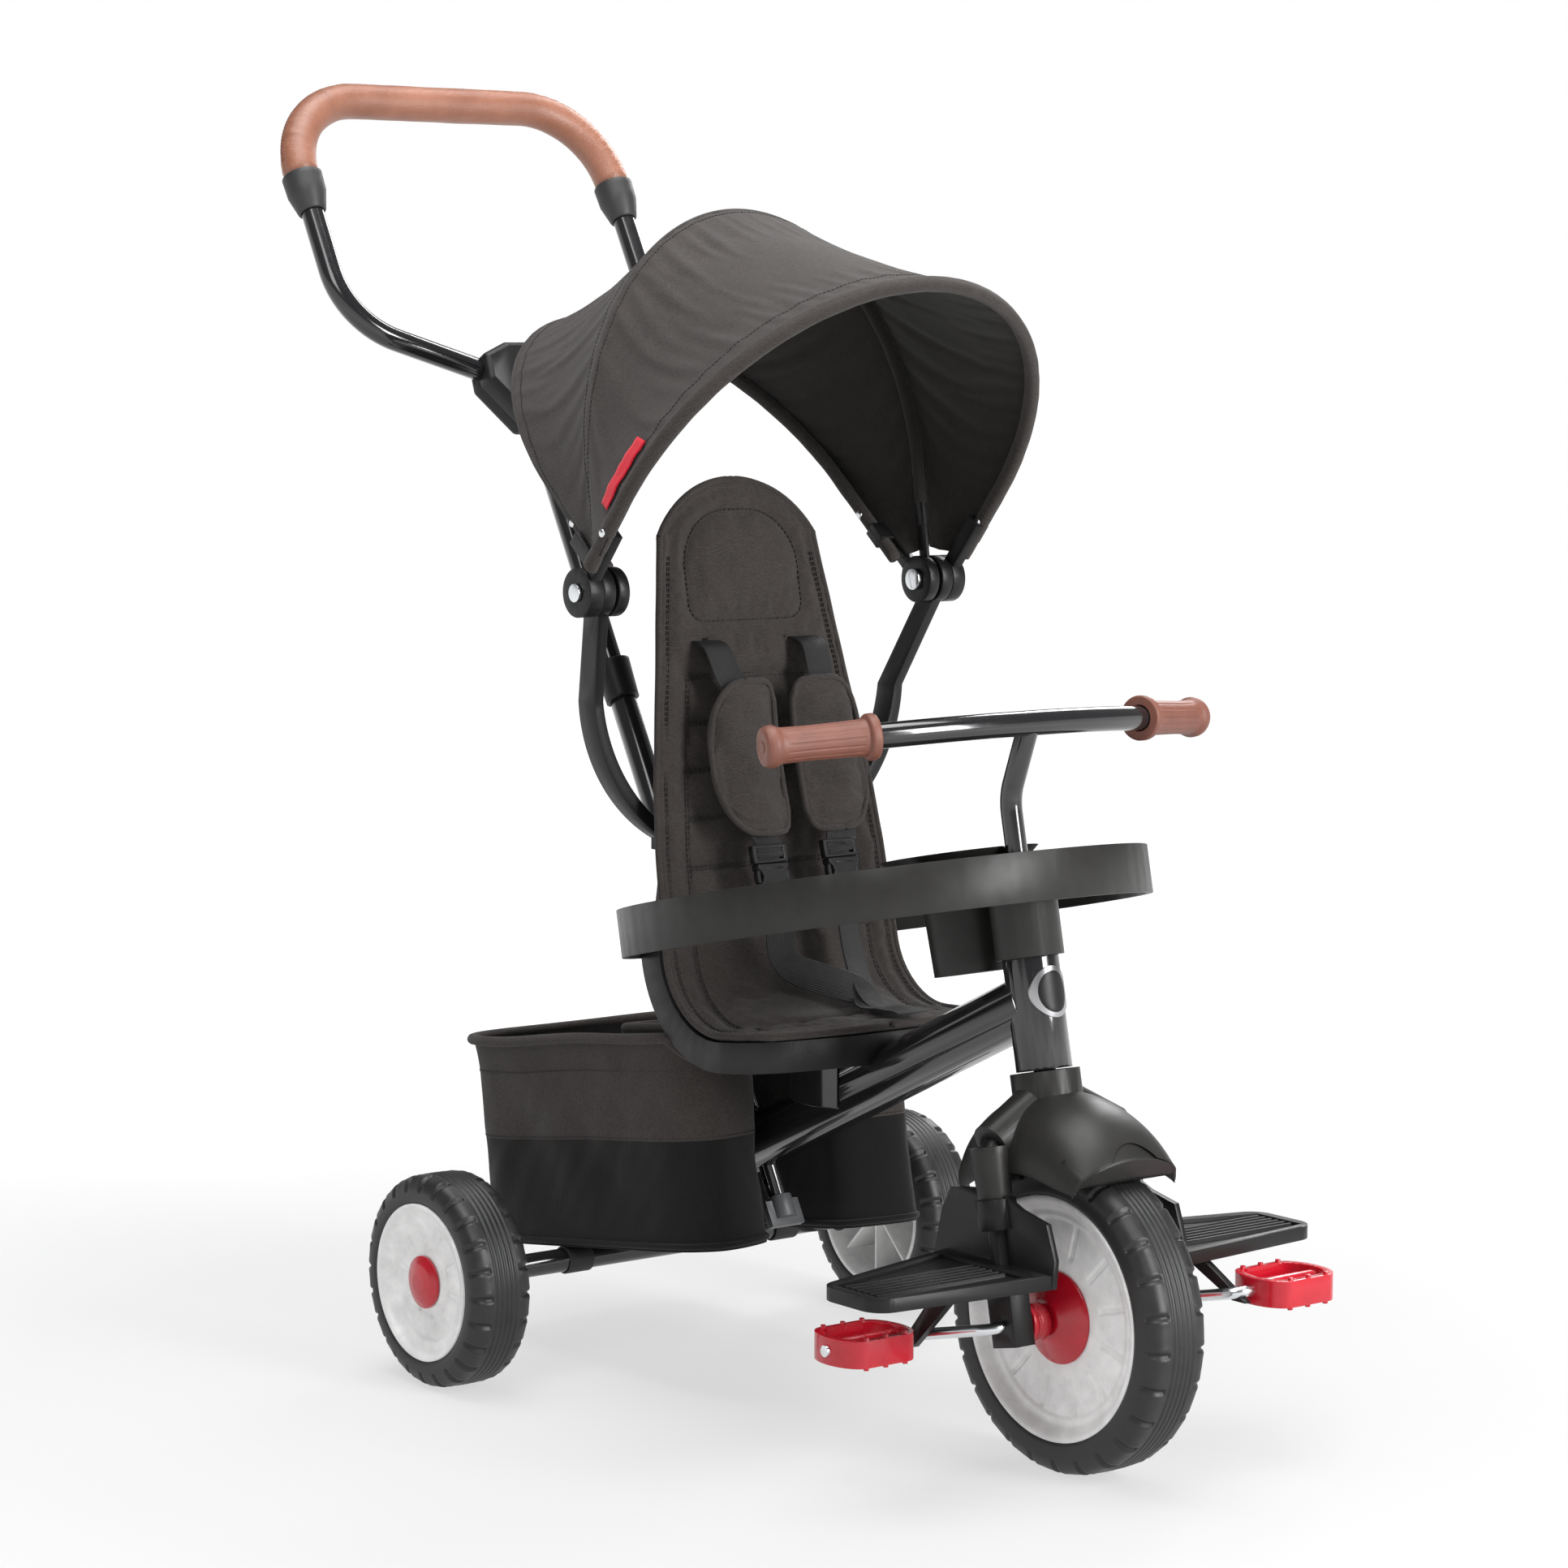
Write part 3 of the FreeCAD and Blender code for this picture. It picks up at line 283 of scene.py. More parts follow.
def stitch_row(name, points, normals, spacing, length, material, radius=0.00035):
    """Thread stitches that sit on a surface along a path."""
    count = max(2, int(sum((b - a).length for a, b in zip(points, points[1:])) / spacing))
    path = even_path(points, count)
    keys = even_path(normals, count)
    boxes = []
    for index in range(count - 1):
        along = (path[index + 1] - path[index]).normalized()
        up = keys[index].normalized()
        across = along.cross(up)
        middle = path[index].lerp(path[index + 1], 0.5)
        boxes.append((middle, along * (length / 2), across * radius, up * radius))
    return box_mesh(name, boxes, material, bevel=0)


def joined(name, parts):
    """One object from several, keeping their materials."""
    made = bmesh.new()
    materials = []
    for part in parts:
        start = len(made.faces)
        made.from_mesh(part.data)
        made.faces.ensure_lookup_table()
        table = []
        for material in part.data.materials:
            if material not in materials:
                materials.append(material)
            table.append(materials.index(material))
        for face in made.faces[start:]:
            face.material_index = table[face.material_index]
        bpy.data.objects.remove(part)
    mesh = bpy.data.meshes.new(name)
    made.to_mesh(mesh)
    made.free()
    for material in materials:
        mesh.materials.append(material)
    return linked(name, mesh)


def settle(obj, body, node=None):
    """Ride a finished piece on its body and hide the CAD node that it stands for."""
    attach(obj, body)
    if node:
        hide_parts(node)
    return obj


def face_towards(obj, index, direction):
    """Turn every face of a sheet over if the given one looks away from a direction."""
    if obj.data.polygons[index].normal.dot(direction) < 0:
        obj.data.flip_normals()


def loop_tube(name, points, radius, material, side=X_AXIS, ring=8):
    """Tube round a closed line of points: piping, a rim or a binding."""
    return tube_object(name, points + points[:1], radius, material, side=side, ring=ring, closed=True)


def subdivide_profile(profile, step):
    out = []
    for (x0, r0), (x1, r1) in zip(profile, profile[1:]):
        count = max(1, int(math.hypot(x1 - x0, r1 - r0) / step))
        for k in range(count):
            out.append((x0 + (x1 - x0) * k / count, r0 + (r1 - r0) * k / count))
    out.append(profile[-1])
    return out


# ---- material helpers -------------------------------------------------------------
class Shade:
    """A material with a principled shader and short-hands for adding nodes to it."""

    def __init__(self, name, color, roughness, **values):
        self.material = bpy.data.materials.new(name)
        self.material.use_nodes = True
        self.tree = self.material.node_tree
        self.shader = self.tree.nodes["Principled BSDF"]
        self.set(self.shader, {"Base Color": (*color, 1), "Roughness": roughness})
        self.wire(**values)

    def set(self, node, values):
        for key, value in values.items():
            socket = node.inputs[key]
            if isinstance(value, bpy.types.NodeSocket):
                self.tree.links.new(value, socket)
            else:
                socket.default_value = value

    def add(self, kind, inputs=None, **settings):
        node = self.tree.nodes.new("ShaderNode" + kind)
        for key, value in settings.items():
            setattr(node, key, value)
        self.set(node, inputs or {})
        return node

    def coordinates(self, scale=(1, 1, 1), source="Object"):
        texture = self.add("TexCoord")
        mapping = self.add("Mapping", {"Vector": texture.outputs[source], "Scale": scale})
        return mapping.outputs["Vector"]

    def noise(self, scale, detail, stretch=(1, 1, 1), roughness=0.6):
        made = self.add("TexNoise", {"Vector": self.coordinates(stretch), "Scale": scale,
                                     "Detail": detail, "Roughness": roughness})
        return made.outputs["Fac"]

    def math(self, operation, a, b, c=0.0):
        made = self.add("Math", operation=operation)
        for index, value in enumerate((a, b, c)):
            if isinstance(value, bpy.types.NodeSocket):
                self.tree.links.new(value, made.inputs[index])
            else:
                made.inputs[index].default_value = value
        return made.outputs[0]

    def ramp(self, factor, stops):
        made = self.add("ValToRGB", {"Fac": factor})
        elements = made.color_ramp.elements
        while len(elements) < len(stops):
            elements.new(0.5)
        for element, (position, color) in zip(elements, stops):
            element.position = position
            element.color = (*color, 1)
        return made.outputs["Color"]

    def bump(self, height, strength, distance):
        values = {"Height": height, "Strength": strength, "Distance": distance}
        return self.add("Bump", values).outputs["Normal"]

    def wire(self, **values):
        self.set(self.shader, {key.replace("_", " "): value for key, value in values.items()})
        return self.material


def plastic(name, color, roughness, grain=0.0, grain_scale=900, **values):
    shade = Shade(name, color, roughness, **values)
    mottled = shade.noise(60, 3)
    low = tuple(c * 0.88 for c in color)
    high = tuple(min(1, c * 1.10) for c in color)
    shade.wire(Base_Color=shade.ramp(mottled, [(0.3, low), (0.7, high)]))
    rough = shade.math("MULTIPLY_ADD", shade.noise(140, 3), 0.12, roughness - 0.06)
    shade.wire(Roughness=rough)
    if grain:
        shade.wire(Normal=shade.bump(shade.noise(grain_scale, 2), grain, 0.0004))
    return shade.material


def metal(name, color, roughness):
    shade = Shade(name, color, roughness, Metallic=1.0)
    brushed = shade.noise(300, 2, (8, 1, 1))
    shade.wire(Roughness=shade.math("MULTIPLY_ADD", brushed, 0.15, roughness - 0.07))
    return shade.material


def heather(name, dark, light, weave=1.0):
    """Two-tone woven cloth: fine flecks, thread streaks and a soft sheen."""
    shade = Shade(name, light, 0.92)
    fleck = shade.noise(1500, 2, roughness=0.7)
    streak = shade.noise(260, 3, (1, 1, 9), roughness=0.7)
    blotch = shade.noise(30, 3)
    both = shade.math("MULTIPLY_ADD", streak, 0.45, shade.math("MULTIPLY", fleck, 0.45))
    both = shade.math("MULTIPLY_ADD", blotch, 0.1, both)
    color = shade.ramp(both, [(0.36, dark), (0.64, light)])
    waves = []
    for scale, direction in (((1, 1, 1), "Z"), ((1, 0.8, 0), "DIAGONAL")):
        values = {"Vector": shade.coordinates(scale), "Scale": 520, "Distortion": 0.4}
        waves.append(shade.add("TexWave", values, bands_direction=direction).outputs["Fac"])
    thread = shade.math("ADD", *waves)
    thread = shade.math("ADD", thread, shade.math("MULTIPLY", fleck, 1.4))
    shade.wire(Base_Color=color, Normal=shade.bump(thread, 0.35 * weave, 0.0006))
    shade.wire(Sheen_Weight=0.10, Sheen_Roughness=0.5, Specular_IOR_Level=0.25)
    return shade.material


def webbing_material():
    """Black strap with fine ribs along its length and a slight sheen."""
    shade = Shade("webbing", (0.012, 0.012, 0.013), 0.62)
    ribs, cross = (shade.add("TexWave", {"Vector": shade.coordinates(source="UV"), "Scale": scale},
                             bands_direction=direction).outputs["Fac"]
                   for scale, direction in ((180, "X"), (260, "Y")))
    height = shade.math("MULTIPLY_ADD", cross, 0.35, ribs)
    shade.wire(Normal=shade.bump(height, 0.5, 0.0008))
    return shade.material


def leather_material():
    shade = Shade("tan_leather", (0.30, 0.11, 0.058), 0.42)
    grain = shade.add("TexVoronoi", {"Vector": shade.coordinates(), "Scale": 900})
    creases = shade.noise(70, 4, (0.5, 1.5, 1.5))
    patches = shade.noise(24, 3)
    color = shade.ramp(patches, [(0.3, (0.21, 0.078, 0.043)), (0.7, (0.29, 0.118, 0.070))])
    height = shade.math("MULTIPLY_ADD", creases, 2.2, grain.outputs["Distance"])
    shade.wire(Base_Color=color, Normal=shade.bump(height, 0.35, 0.0007))
    shade.wire(Coat_Weight=0.15, Coat_Roughness=0.3)
    return shade.material


def tyre_material():
    shade = Shade("tyre_black", (0.022, 0.022, 0.023), 0.5)
    dust = shade.noise(70, 4)
    shade.wire(Base_Color=shade.ramp(dust, [(0.3, (0.008, 0.008, 0.0085)), (0.75, (0.018, 0.018, 0.0185))]))
    shade.wire(Roughness=shade.math("MULTIPLY_ADD", dust, 0.2, 0.36))
    shade.wire(Normal=shade.bump(shade.noise(1400, 2), 0.12, 0.0004))
    return shade.material


MATERIALS = {
    "gloss_black_tube": plastic("gloss_black_tube", (0.010, 0.010, 0.011), 0.16,
                                Coat_Weight=0.6, Coat_Roughness=0.08),
    "zinc_rod": metal("zinc_rod", (0.72, 0.74, 0.76), 0.22),
    "black_plastic": plastic("black_plastic", (0.007, 0.007, 0.007), 0.42, 0.12,
                             Specular_IOR_Level=0.3),
    "charcoal_plastic": plastic("charcoal_plastic", (0.018, 0.0175, 0.0165), 0.40, 0.10,
                                Specular_IOR_Level=0.3),
    "pebbled_plastic": plastic("pebbled_plastic", (0.014, 0.014, 0.014), 0.45, 0.7, 700,
                               Specular_IOR_Level=0.3),
    "knob_grey": plastic("knob_grey", (0.075, 0.078, 0.082), 0.45, 0.1),
    "white_plastic": plastic("white_plastic", (0.80, 0.80, 0.795), 0.32, 0.03),
    "red_plastic": plastic("red_plastic", (0.46, 0.004, 0.016), 0.26, 0.02, Coat_Weight=0.3),
    "tyre_black": tyre_material(),
    "grip_brown": plastic("grip_brown", (0.165, 0.058, 0.038), 0.52, 0.15),
    "tan_leather": leather_material(),
    "cuff_rubber": plastic("cuff_rubber", (0.022, 0.022, 0.023), 0.5, 0.15),
    "heather_fabric": heather("heather_fabric", (0.015, 0.0125, 0.0115), (0.062, 0.053, 0.049)),
    "webbing": webbing_material(),
    "badge_silver": metal("badge_silver", (0.42, 0.42, 0.43), 0.32),
    "lining": heather("lining", (0.010, 0.009, 0.0085), (0.026, 0.023, 0.021)),
    "bag_black": heather("bag_black", (0.002, 0.002, 0.002), (0.006, 0.006, 0.006), 0.7),
    "thread": plastic("thread", (0.012, 0.011, 0.010), 0.7),
    "tag_red": heather("tag_red", (0.52, 0.008, 0.022), (0.62, 0.012, 0.030), 0.4),
}
FABRIC, THREAD, BAG_BLACK, WHITE = (MATERIALS[k] for k in ("heather_fabric", "thread", "bag_black",
                                                           "white_plastic"))
SLOT_OF = {row["node"]: row["material_slot"] for row in frame["record"]["subparts"]}


def dress_cad_nodes():
    """Every CAD node takes its slot's material, with its sharp edges eased."""
    for name, obj in NODES.items():
        obj.data.materials.clear()
        obj.data.materials.append(MATERIALS[SLOT_OF[name]])
        smoothed(obj)
        modifier(obj, "WELD", merge_threshold=0.00001)
        modifier(obj, "BEVEL", width=0.0008, segments=2, limit_method="ANGLE", angle_limit=math.radians(35),
                 harden_normals=True)


dress_cad_nodes()


# ---- cloth simulation ---------------------------------------------------------------
def simulate(obj, pinned, cap, slack, stiffness, pressure=0.0, gravity=0.0, frames=20):
    """Run cloth with some vertices held, then keep its result with each move limited to cap."""
    start = [v.co.copy() for v in obj.data.vertices]
    group = obj.vertex_groups.new(name="pin")
    group.add(pinned, 1.0, "REPLACE")
    made = obj.modifiers.new("cloth", "CLOTH")
    settings = made.settings
    settings.quality = 6
    settings.mass = 0.15
    settings.tension_stiffness = stiffness
    settings.compression_stiffness = stiffness
    settings.shear_stiffness = stiffness * 0.5
    settings.bending_stiffness = 0.25
    settings.use_pressure = pressure > 0
    settings.uniform_pressure_force = pressure
    settings.shrink_min = -slack
    settings.vertex_group_mass = "pin"
    settings.effector_weights.gravity = gravity
    made.collision_settings.use_collision = False
    made.point_cache.frame_start = 1
    made.point_cache.frame_end = frames
    scene = bpy.context.scene
    for number in range(1, frames + 1):
        scene.frame_set(number)
        bpy.context.view_layer.update()
    evaluated = obj.evaluated_get(bpy.context.evaluated_depsgraph_get())
    moved = [v.co.copy() for v in evaluated.data.vertices]
    obj.modifiers.clear()
    obj.vertex_groups.clear()
    scene.frame_set(1)
    for vertex, before, after in zip(obj.data.vertices, start, moved):
        step = after - before
        if step.length > cap:
            step *= cap / step.length
        vertex.co = before + step
    return obj


def close_sheet(obj, rows, cols, back_points):
    """Turn a grid sheet and the matching points behind it into one closed pad."""
    front = [v.co.copy() for v in obj.data.vertices]
    verts = front + list(back_points)
    offset = len(front)
    faces = grid_faces(rows, cols)
    faces += [tuple(offset + k for k in reversed(face)) for face in grid_faces(rows, cols)]
    border = list(range(cols)) + [i * cols + cols - 1 for i in range(1, rows)]
    border += [(rows - 1) * cols + j for j in range(cols - 2, -1, -1)]
    border += [i * cols for i in range(rows - 2, 0, -1)]
    for a, b in zip(border, border[1:] + border[:1]):
        faces.append((a, a + offset, b + offset, b))
    name, material = obj.name, obj.data.materials[0]
    bpy.data.objects.remove(obj)
    pad = face_outward(make_object(name, verts, faces, material))
    modifier(pad, "WELD", merge_threshold=0.0001)
    modifier(pad, "SUBSURF", levels=1, render_levels=1)
    apply_modifiers(pad)
    return pad, [front[k] for k in border]


# ---- wheels ---------------------------------------------------------------------------
WHEEL_HALF_W = 0.027
REAR_WHEEL_X = 0.227
FRONT_TYRE_R, FRONT_RIM_R = 0.116, 0.0908
REAR_TYRE_R, REAR_RIM_R = 0.0845, 0.0624
GROOVES = (-0.0092, -0.0046, 0.0, 0.0046, 0.0092)


def make_tyre(name, centre, outer, rim, notches, body, node):
    w = WHEEL_HALF_W
    half = [(0, outer), (0.010, outer - 0.0003), (w - 0.009, outer - 0.0012), (w - 0.004, outer - 0.0042),
            (w - 0.0006, outer - 0.0105), (w, outer - 0.016), (w - 0.0004, rim + 0.003), (w - 0.0016, rim)]
    rounded = smooth_path([Vector((x, r, 0)) for x, r in half], 56)
    right = [(p.x, p.y) for p in rounded]
    profile = [(-x, r) for x, r in reversed(right[1:])] + right + [(0.02, rim), (-0.02, rim)]
    notch_width, groove_depth, groove_width = 0.0021, 0.0012, 0.00075

    def tread(x, r, angle):
        if r < outer - 0.013:
            return x, r
        depth = sum(groove_depth * math.exp(-((x - g) / groove_width) ** 2) for g in GROOVES)
        across = abs(x)
        band = min(1, max(0, (across - 0.0125) / 0.002)) * min(1, max(0, (r - outer + 0.013) / 0.003))
        near = mark_distance(angle, notches) * outer
        cut = math.exp(-(near / notch_width) ** 4) * band
        lip = math.exp(-((abs(near) - 2 * notch_width) / notch_width) ** 2) * band
        return x - math.copysign(0.0010 * cut, x), r - depth - 0.0019 * cut + 0.0004 * lip

    angles = marked_angles(notches, 0.0065 / outer, 10, 4)
    tyre = lathe_object("tyre_" + name, profile, centre, MATERIALS["tyre_black"], angles, tread)
    settle(tyre, body, node)


def bar_depth(r, near, low, high, half_width):
    """1 inside a radial bar from low to high radius, falling to 0 over its soft edge."""
    soft = 0.0011
    along = max(low - r, r - high, 0)
    beyond = math.hypot(along, max(abs(near) - half_width, 0))
    return max(0.0, 1 - beyond / soft)


def make_front_rim():
    face, rim = 0.017, FRONT_RIM_R
    half = [(0.026, rim), (0.0262, 0.0893), (0.0255, 0.0868), (0.0222, 0.0835), (0.0192, 0.081),
            (0.0182, 0.079), (0.0180, 0.0745), (0.0168, 0.0732), (face - 0.0005, 0.070),
            (face, 0.040), (face, 0.006)]
    fine = subdivide_profile(half, 0.0016)
    profile = fine + [(-x, r) for x, r in reversed(fine)]
    slots = 12

    def pressed(x, r, angle):
        cut = bar_depth(r, mark_distance(angle, slots) * r, 0.046, 0.071, 0.0019)
        return x - math.copysign(0.0016 * cut, x), r

    rim_piece = lathe_object("front_rim_disc", profile, FRONT_AXLE, WHITE,
                             marked_angles(slots, math.radians(5), 16, 6), pressed)
    settle(rim_piece, "front_wheel", "front_rim")


def make_rear_rim(side):
    sign = SIDES[side]
    centre = REAR_AXLE + X_AXIS * (REAR_WHEEL_X * sign)
    rim = REAR_RIM_R
    outside = [(0.027, rim), (0.0274, 0.0612), (0.0268, 0.0594), (0.0225, 0.0565), (0.0205, 0.0530),
               (0.0200, 0.0475), (0.0184, 0.0462), (0.0180, 0.044), (0.0178, 0.026), (0.0188, 0.0235),
               (0.0208, 0.0218), (0.0208, 0.006)]
    inside = [(-0.0262, 0.006), (-0.0265, 0.0125), (0.0135, 0.013), (0.014, 0.054), (-0.0255, 0.0585),
              (-0.0262, rim)]
    profile = subdivide_profile(outside, 0.0016) + inside
    ribs = 10

    def raised(x, r, angle):
        if x < 0.015:
            return x * sign, r
        lift = bar_depth(r, mark_distance(angle, ribs) * r, 0.029, 0.0415, 0.0014)
        return (x + 0.0014 * lift) * sign, r

    disc_piece = lathe_object("rear_rim_disc_" + side, profile, centre, WHITE,
                              marked_angles(ribs, math.radians(7), 16, 6), raised)
    webs = []
    for angle in even_angles(8):
        out = Vector((0, math.sin(angle), math.cos(angle)))
        middle = centre + X_AXIS * (-0.002 * sign) + out * 0.034
        webs.append((middle, X_AXIS * 0.0165, out * 0.0215, X_AXIS.cross(out) * 0.0012))
    web_piece = box_mesh("rim_webs", webs, WHITE, 0.0004)
    rim_piece = joined("rear_rim_" + side + "_detail", [disc_piece, web_piece])
    settle(rim_piece, "rear_wheel_" + side, "rear_rim_" + side)


def make_wheels():
    make_tyre("front", FRONT_AXLE, FRONT_TYRE_R, FRONT_RIM_R, 26, "front_wheel", "front_tyre")
    make_front_rim()
    for side, sign in SIDES.items():
        centre = REAR_AXLE + X_AXIS * (REAR_WHEEL_X * sign)
        make_tyre("rear_" + side, centre, REAR_TYRE_R, REAR_RIM_R, 24, "rear_wheel_" + side,
                  "rear_tyre_" + side)
        make_rear_rim(side)


make_wheels()


# ---- canopy -----------------------------------------------------------------------------
LEG_SHARE = 0.18
RIVET_T = 0.90
CLOTH_OFFSET = 0.0052
PANEL_COLS = 161
CREASE_DEPTH, GATHER_DEPTH, GATHER_FROM = 0.0034, 0.0026, 0.55


def bow_point(bow, t, offset=0.0, foot=CLOTH_FOOT):
    """Point on a bow, from t = -1 at its foot on the rider's right to 1 at its left foot."""
    tilt, half_width, rise, centre = BOWS[bow]
    turn = 1 - LEG_SHARE
    if abs(t) <= turn:
        angle = t / turn * math.pi / 2
        x = (half_width + offset) * math.sin(angle)
        up = centre + (rise + offset - centre) * math.cos(angle)
    else:
        x = math.copysign(half_width + offset, t)
        up = centre + (foot - centre) * (abs(t) - turn) / LEG_SHARE
    lean = math.radians(tilt)
    return HUB + Vector((x, -up * math.sin(lean), up * math.cos(lean)))


def cloth_noise(a, b, seed):
    return noise.noise(Vector((a, b, seed)))


class Panel:
    """Cloth between two bows, kept as a grid so that trims can be laid on it."""

    def __init__(self, name, back, front, rows, sag, seed):
        self.rows, self.cols = rows, PANEL_COLS
        verts = []
        for i in range(rows):
            share = i / (rows - 1)
            for j in range(self.cols):
                t = 2 * j / (self.cols - 1) - 1
                start = bow_point(back, t, CLOTH_OFFSET)
                point = start.lerp(bow_point(front, t, CLOTH_OFFSET), share)
                loose = 4 * share * (1 - share)
                top = 1 - 0.75 * abs(t) ** 1.5
                radial = (point - HUB - X_AXIS * (point.x * 0.35)).normalized()
                crease = CREASE_DEPTH * cloth_noise(t * 4.2 + 0.7 * share, share * 1.1, seed)
                low = max(0, abs(t) - GATHER_FROM) / (1 - GATHER_FROM)
                gather = GATHER_DEPTH * low * cloth_noise(t * 3, share * 5, seed + 5)
                verts.append(point - radial * (loose * (sag * top - crease - gather)))
        self.obj = make_object(name, verts, grid_faces(rows, self.cols), FABRIC)
        pinned = list(range(self.cols)) + list(range((rows - 1) * self.cols, rows * self.cols))
        pinned += [i * self.cols for i in range(rows)] + [i * self.cols + self.cols - 1 for i in range(rows)]
        self.flat_area = sum(p.area for p in self.obj.data.polygons)
        simulate(self.obj, pinned, cap=0.005, slack=0.003, gravity=0.2, stiffness=25.0, frames=24)
        self.grid = [v.co.copy() for v in self.obj.data.vertices]

    def at(self, t, share):
        """Point and outward normal on the cloth."""
        x = (t + 1) / 2 * (self.cols - 1)
        y = share * (self.rows - 1)
        j, i = min(int(x), self.cols - 2), min(int(y), self.rows - 2)
        a, b = self.grid[i * self.cols + j], self.grid[i * self.cols + j + 1]
        c, d = self.grid[(i + 1) * self.cols + j], self.grid[(i + 1) * self.cols + j + 1]
        point = a.lerp(b, x - j).lerp(c.lerp(d, x - j), y - i)
        normal = (c - a).cross(b - a).normalized()
        if normal.dot(point - HUB) < 0:
            normal = -normal
        return point, normal

    def finish(self, bodies, node, reach):
        """Give the cloth its thickness and lining, bake its placement into its mesh and hide its CAD node."""
        obj = self.obj
        index = self.cols // 2
        face_towards(obj, index, obj.data.polygons[index].center - HUB)
        obj.data.materials.append(MATERIALS["lining"])
        modifier(obj, "SUBSURF", levels=1, render_levels=1)
        modifier(obj, "SOLIDIFY", thickness=0.0012, offset=-1.0, material_offset=1, use_even_offset=True)
        apply_modifiers(obj)
        tie_to_bows(obj)
        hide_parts(node)


def tie_to_bows(obj):
    """Bake a piece's placement into its mesh."""
    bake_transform(obj)


def bow_sleeve(name, bow, body, radius, inward, material, foot=CLOTH_FOOT):
    """Fabric tunnel that wraps a bow; inward flattens it towards the cloth."""
    steps = 220
    points = [bow_point(bow, 2 * k / steps - 1, 0.0, foot) for k in range(steps + 1)]

    def section(share, angle):
        pucker = 1 + 0.05 * cloth_noise(share * 60, math.cos(angle) * 2, 3.0)
        return radius * pucker * (1 + inward * abs(math.cos(angle)))

    lean = math.radians(BOWS[bow][0])
    plane_normal = Vector((0, -math.cos(lean), -math.sin(lean)))
    sleeve = tube_object(name, points, section, material, side=plane_normal, ring=18)
    settle(face_outward(sleeve), body)
    return sleeve


def strip_on(panel, name, cols, rows, place, lift, material):
    """Thin strip laid on the cloth; place(across, along), each 0 to 1, gives t and share for Panel.at."""
    verts = []
    for i in range(rows):
        for j in range(cols):
            point, normal = panel.at(*place(i / (rows - 1), j / (cols - 1)))
            verts.append(point + normal * lift)
    obj = make_object(name, verts, grid_faces(rows, cols), material)
    modifier(obj, "SOLIDIFY", thickness=0.0009, offset=0.0)
    apply_modifiers(obj)
    return face_outward(obj)


def side_tag(panel):
    """Blank red tag of even width, laid beside the front hem on the rider's right."""
    from_hem, width = 0.0115, 0.017

    def place(across, along):
        t = -0.845 + 0.165 * along
        span = (panel.at(t, 1.0)[0] - panel.at(t, 0.0)[0]).length
        return t, 1 - (from_hem + width * across) / span

    return strip_on(panel, "tag", 24, 6, place, 0.0019, MATERIALS["tag_red"])


def binding_on(panel, middle):
    """Lining strip under the cloth, along the seam at a share of its width."""
    def place(across, along):
        return -0.97 + 1.94 * along, middle - 0.018 + 0.048 * across

    return strip_on(panel, "binding", 120, 4, place, -0.0019, MATERIALS["lining"])


def seam_on(panel, name, share):
    """Row of stitches from foot to foot of the cloth."""
    reach, count, lift = 0.93, 160, 0.0002
    points, normals = [], []
    for k in range(count):
        point, normal = panel.at(reach * (2 * k / (count - 1) - 1), share)
        points.append(point + normal * lift)
        normals.append(normal)
    return stitch_row(name, points, normals, 0.0036, 0.0024, THREAD)


def make_canopy():
    rear = Panel("canopy_rear_cloth", "rear", "mid", rows=37, sag=0.006, seed=2.0)
    front = Panel("canopy_front_cloth", "mid", "front", rows=41, sag=0.003, seed=11.0)
    front_trim = [seam_on(front, "hem_stitch", 0.88), seam_on(front, "mid_stitch", 0.035)]
    rear_trim = [seam_on(rear, "rear_stitch", 0.93), seam_on(rear, "rear_hem_stitch", 0.08)]
    front_trim += [side_tag(front), binding_on(front, 0.02), binding_on(front, 0.97)]
    rear_bodies, front_bodies = ("canopy_rear", "canopy_middle"), ("canopy_middle", "canopy_front")
    for key, panel, trims, bodies, reach in (("rear", rear, rear_trim, rear_bodies, 0.075),
                                             ("front", front, front_trim, front_bodies, 0.085)):
        node = "canopy_" + key + "_panel"
        panel.finish(bodies, node, reach)
        tie_to_bows(joined("canopy_" + key + "_trim", trims))
    bow_sleeve("canopy_rear_hem", "rear", "canopy_rear", 0.0050, 0.10, FABRIC)
    bow_sleeve("canopy_mid_sleeve", "mid", "canopy_middle", 0.0046, 0.10, MATERIALS["lining"], 0.062)
    bow_sleeve("canopy_front_hem", "front", "canopy_front", 0.0052, 0.25, FABRIC)
    for bow, body in (("rear", "canopy_rear"), ("front", "canopy_front")):
        for sign in (-1, 1):
            point = bow_point(bow, sign * RIVET_T)
            for facing in (-1, 1):
                axis = X_AXIS * facing
                rivet = dome_object("rivet", point + axis * 0.0052, axis, 0.0034, 0.0016,
                                    MATERIALS["zinc_rod"])
                side, face = "_left" if sign > 0 else "_right", "_out" if facing > 0 else "_in"
                rivet.name = "canopy_rivet_" + bow + side + face
                settle(rivet, body)


make_canopy()


# ---- seat ---------------------------------------------------------------------------------
SEAT_UP = (SEAT_TOP - SEAT_CORNER).normalized()
SEAT_OUT = (SEAT_NOSE - SEAT_CORNER).normalized()
SEAT_HALF_ANGLE = 0.5 * SEAT_UP.angle(SEAT_OUT)
SEAT_REACH = SEAT_BEND / math.tan(SEAT_HALF_ANGLE)
SEAT_BEND_CENTRE = SEAT_CORNER + (SEAT_UP + SEAT_OUT).normalized() * (SEAT_BEND / math.sin(SEAT_HALF_ANGLE))
BACK_LENGTH = (SEAT_TOP - SEAT_CORNER).length - SEAT_REACH
BEND_LENGTH = SEAT_BEND * (math.pi - 2 * SEAT_HALF_ANGLE)
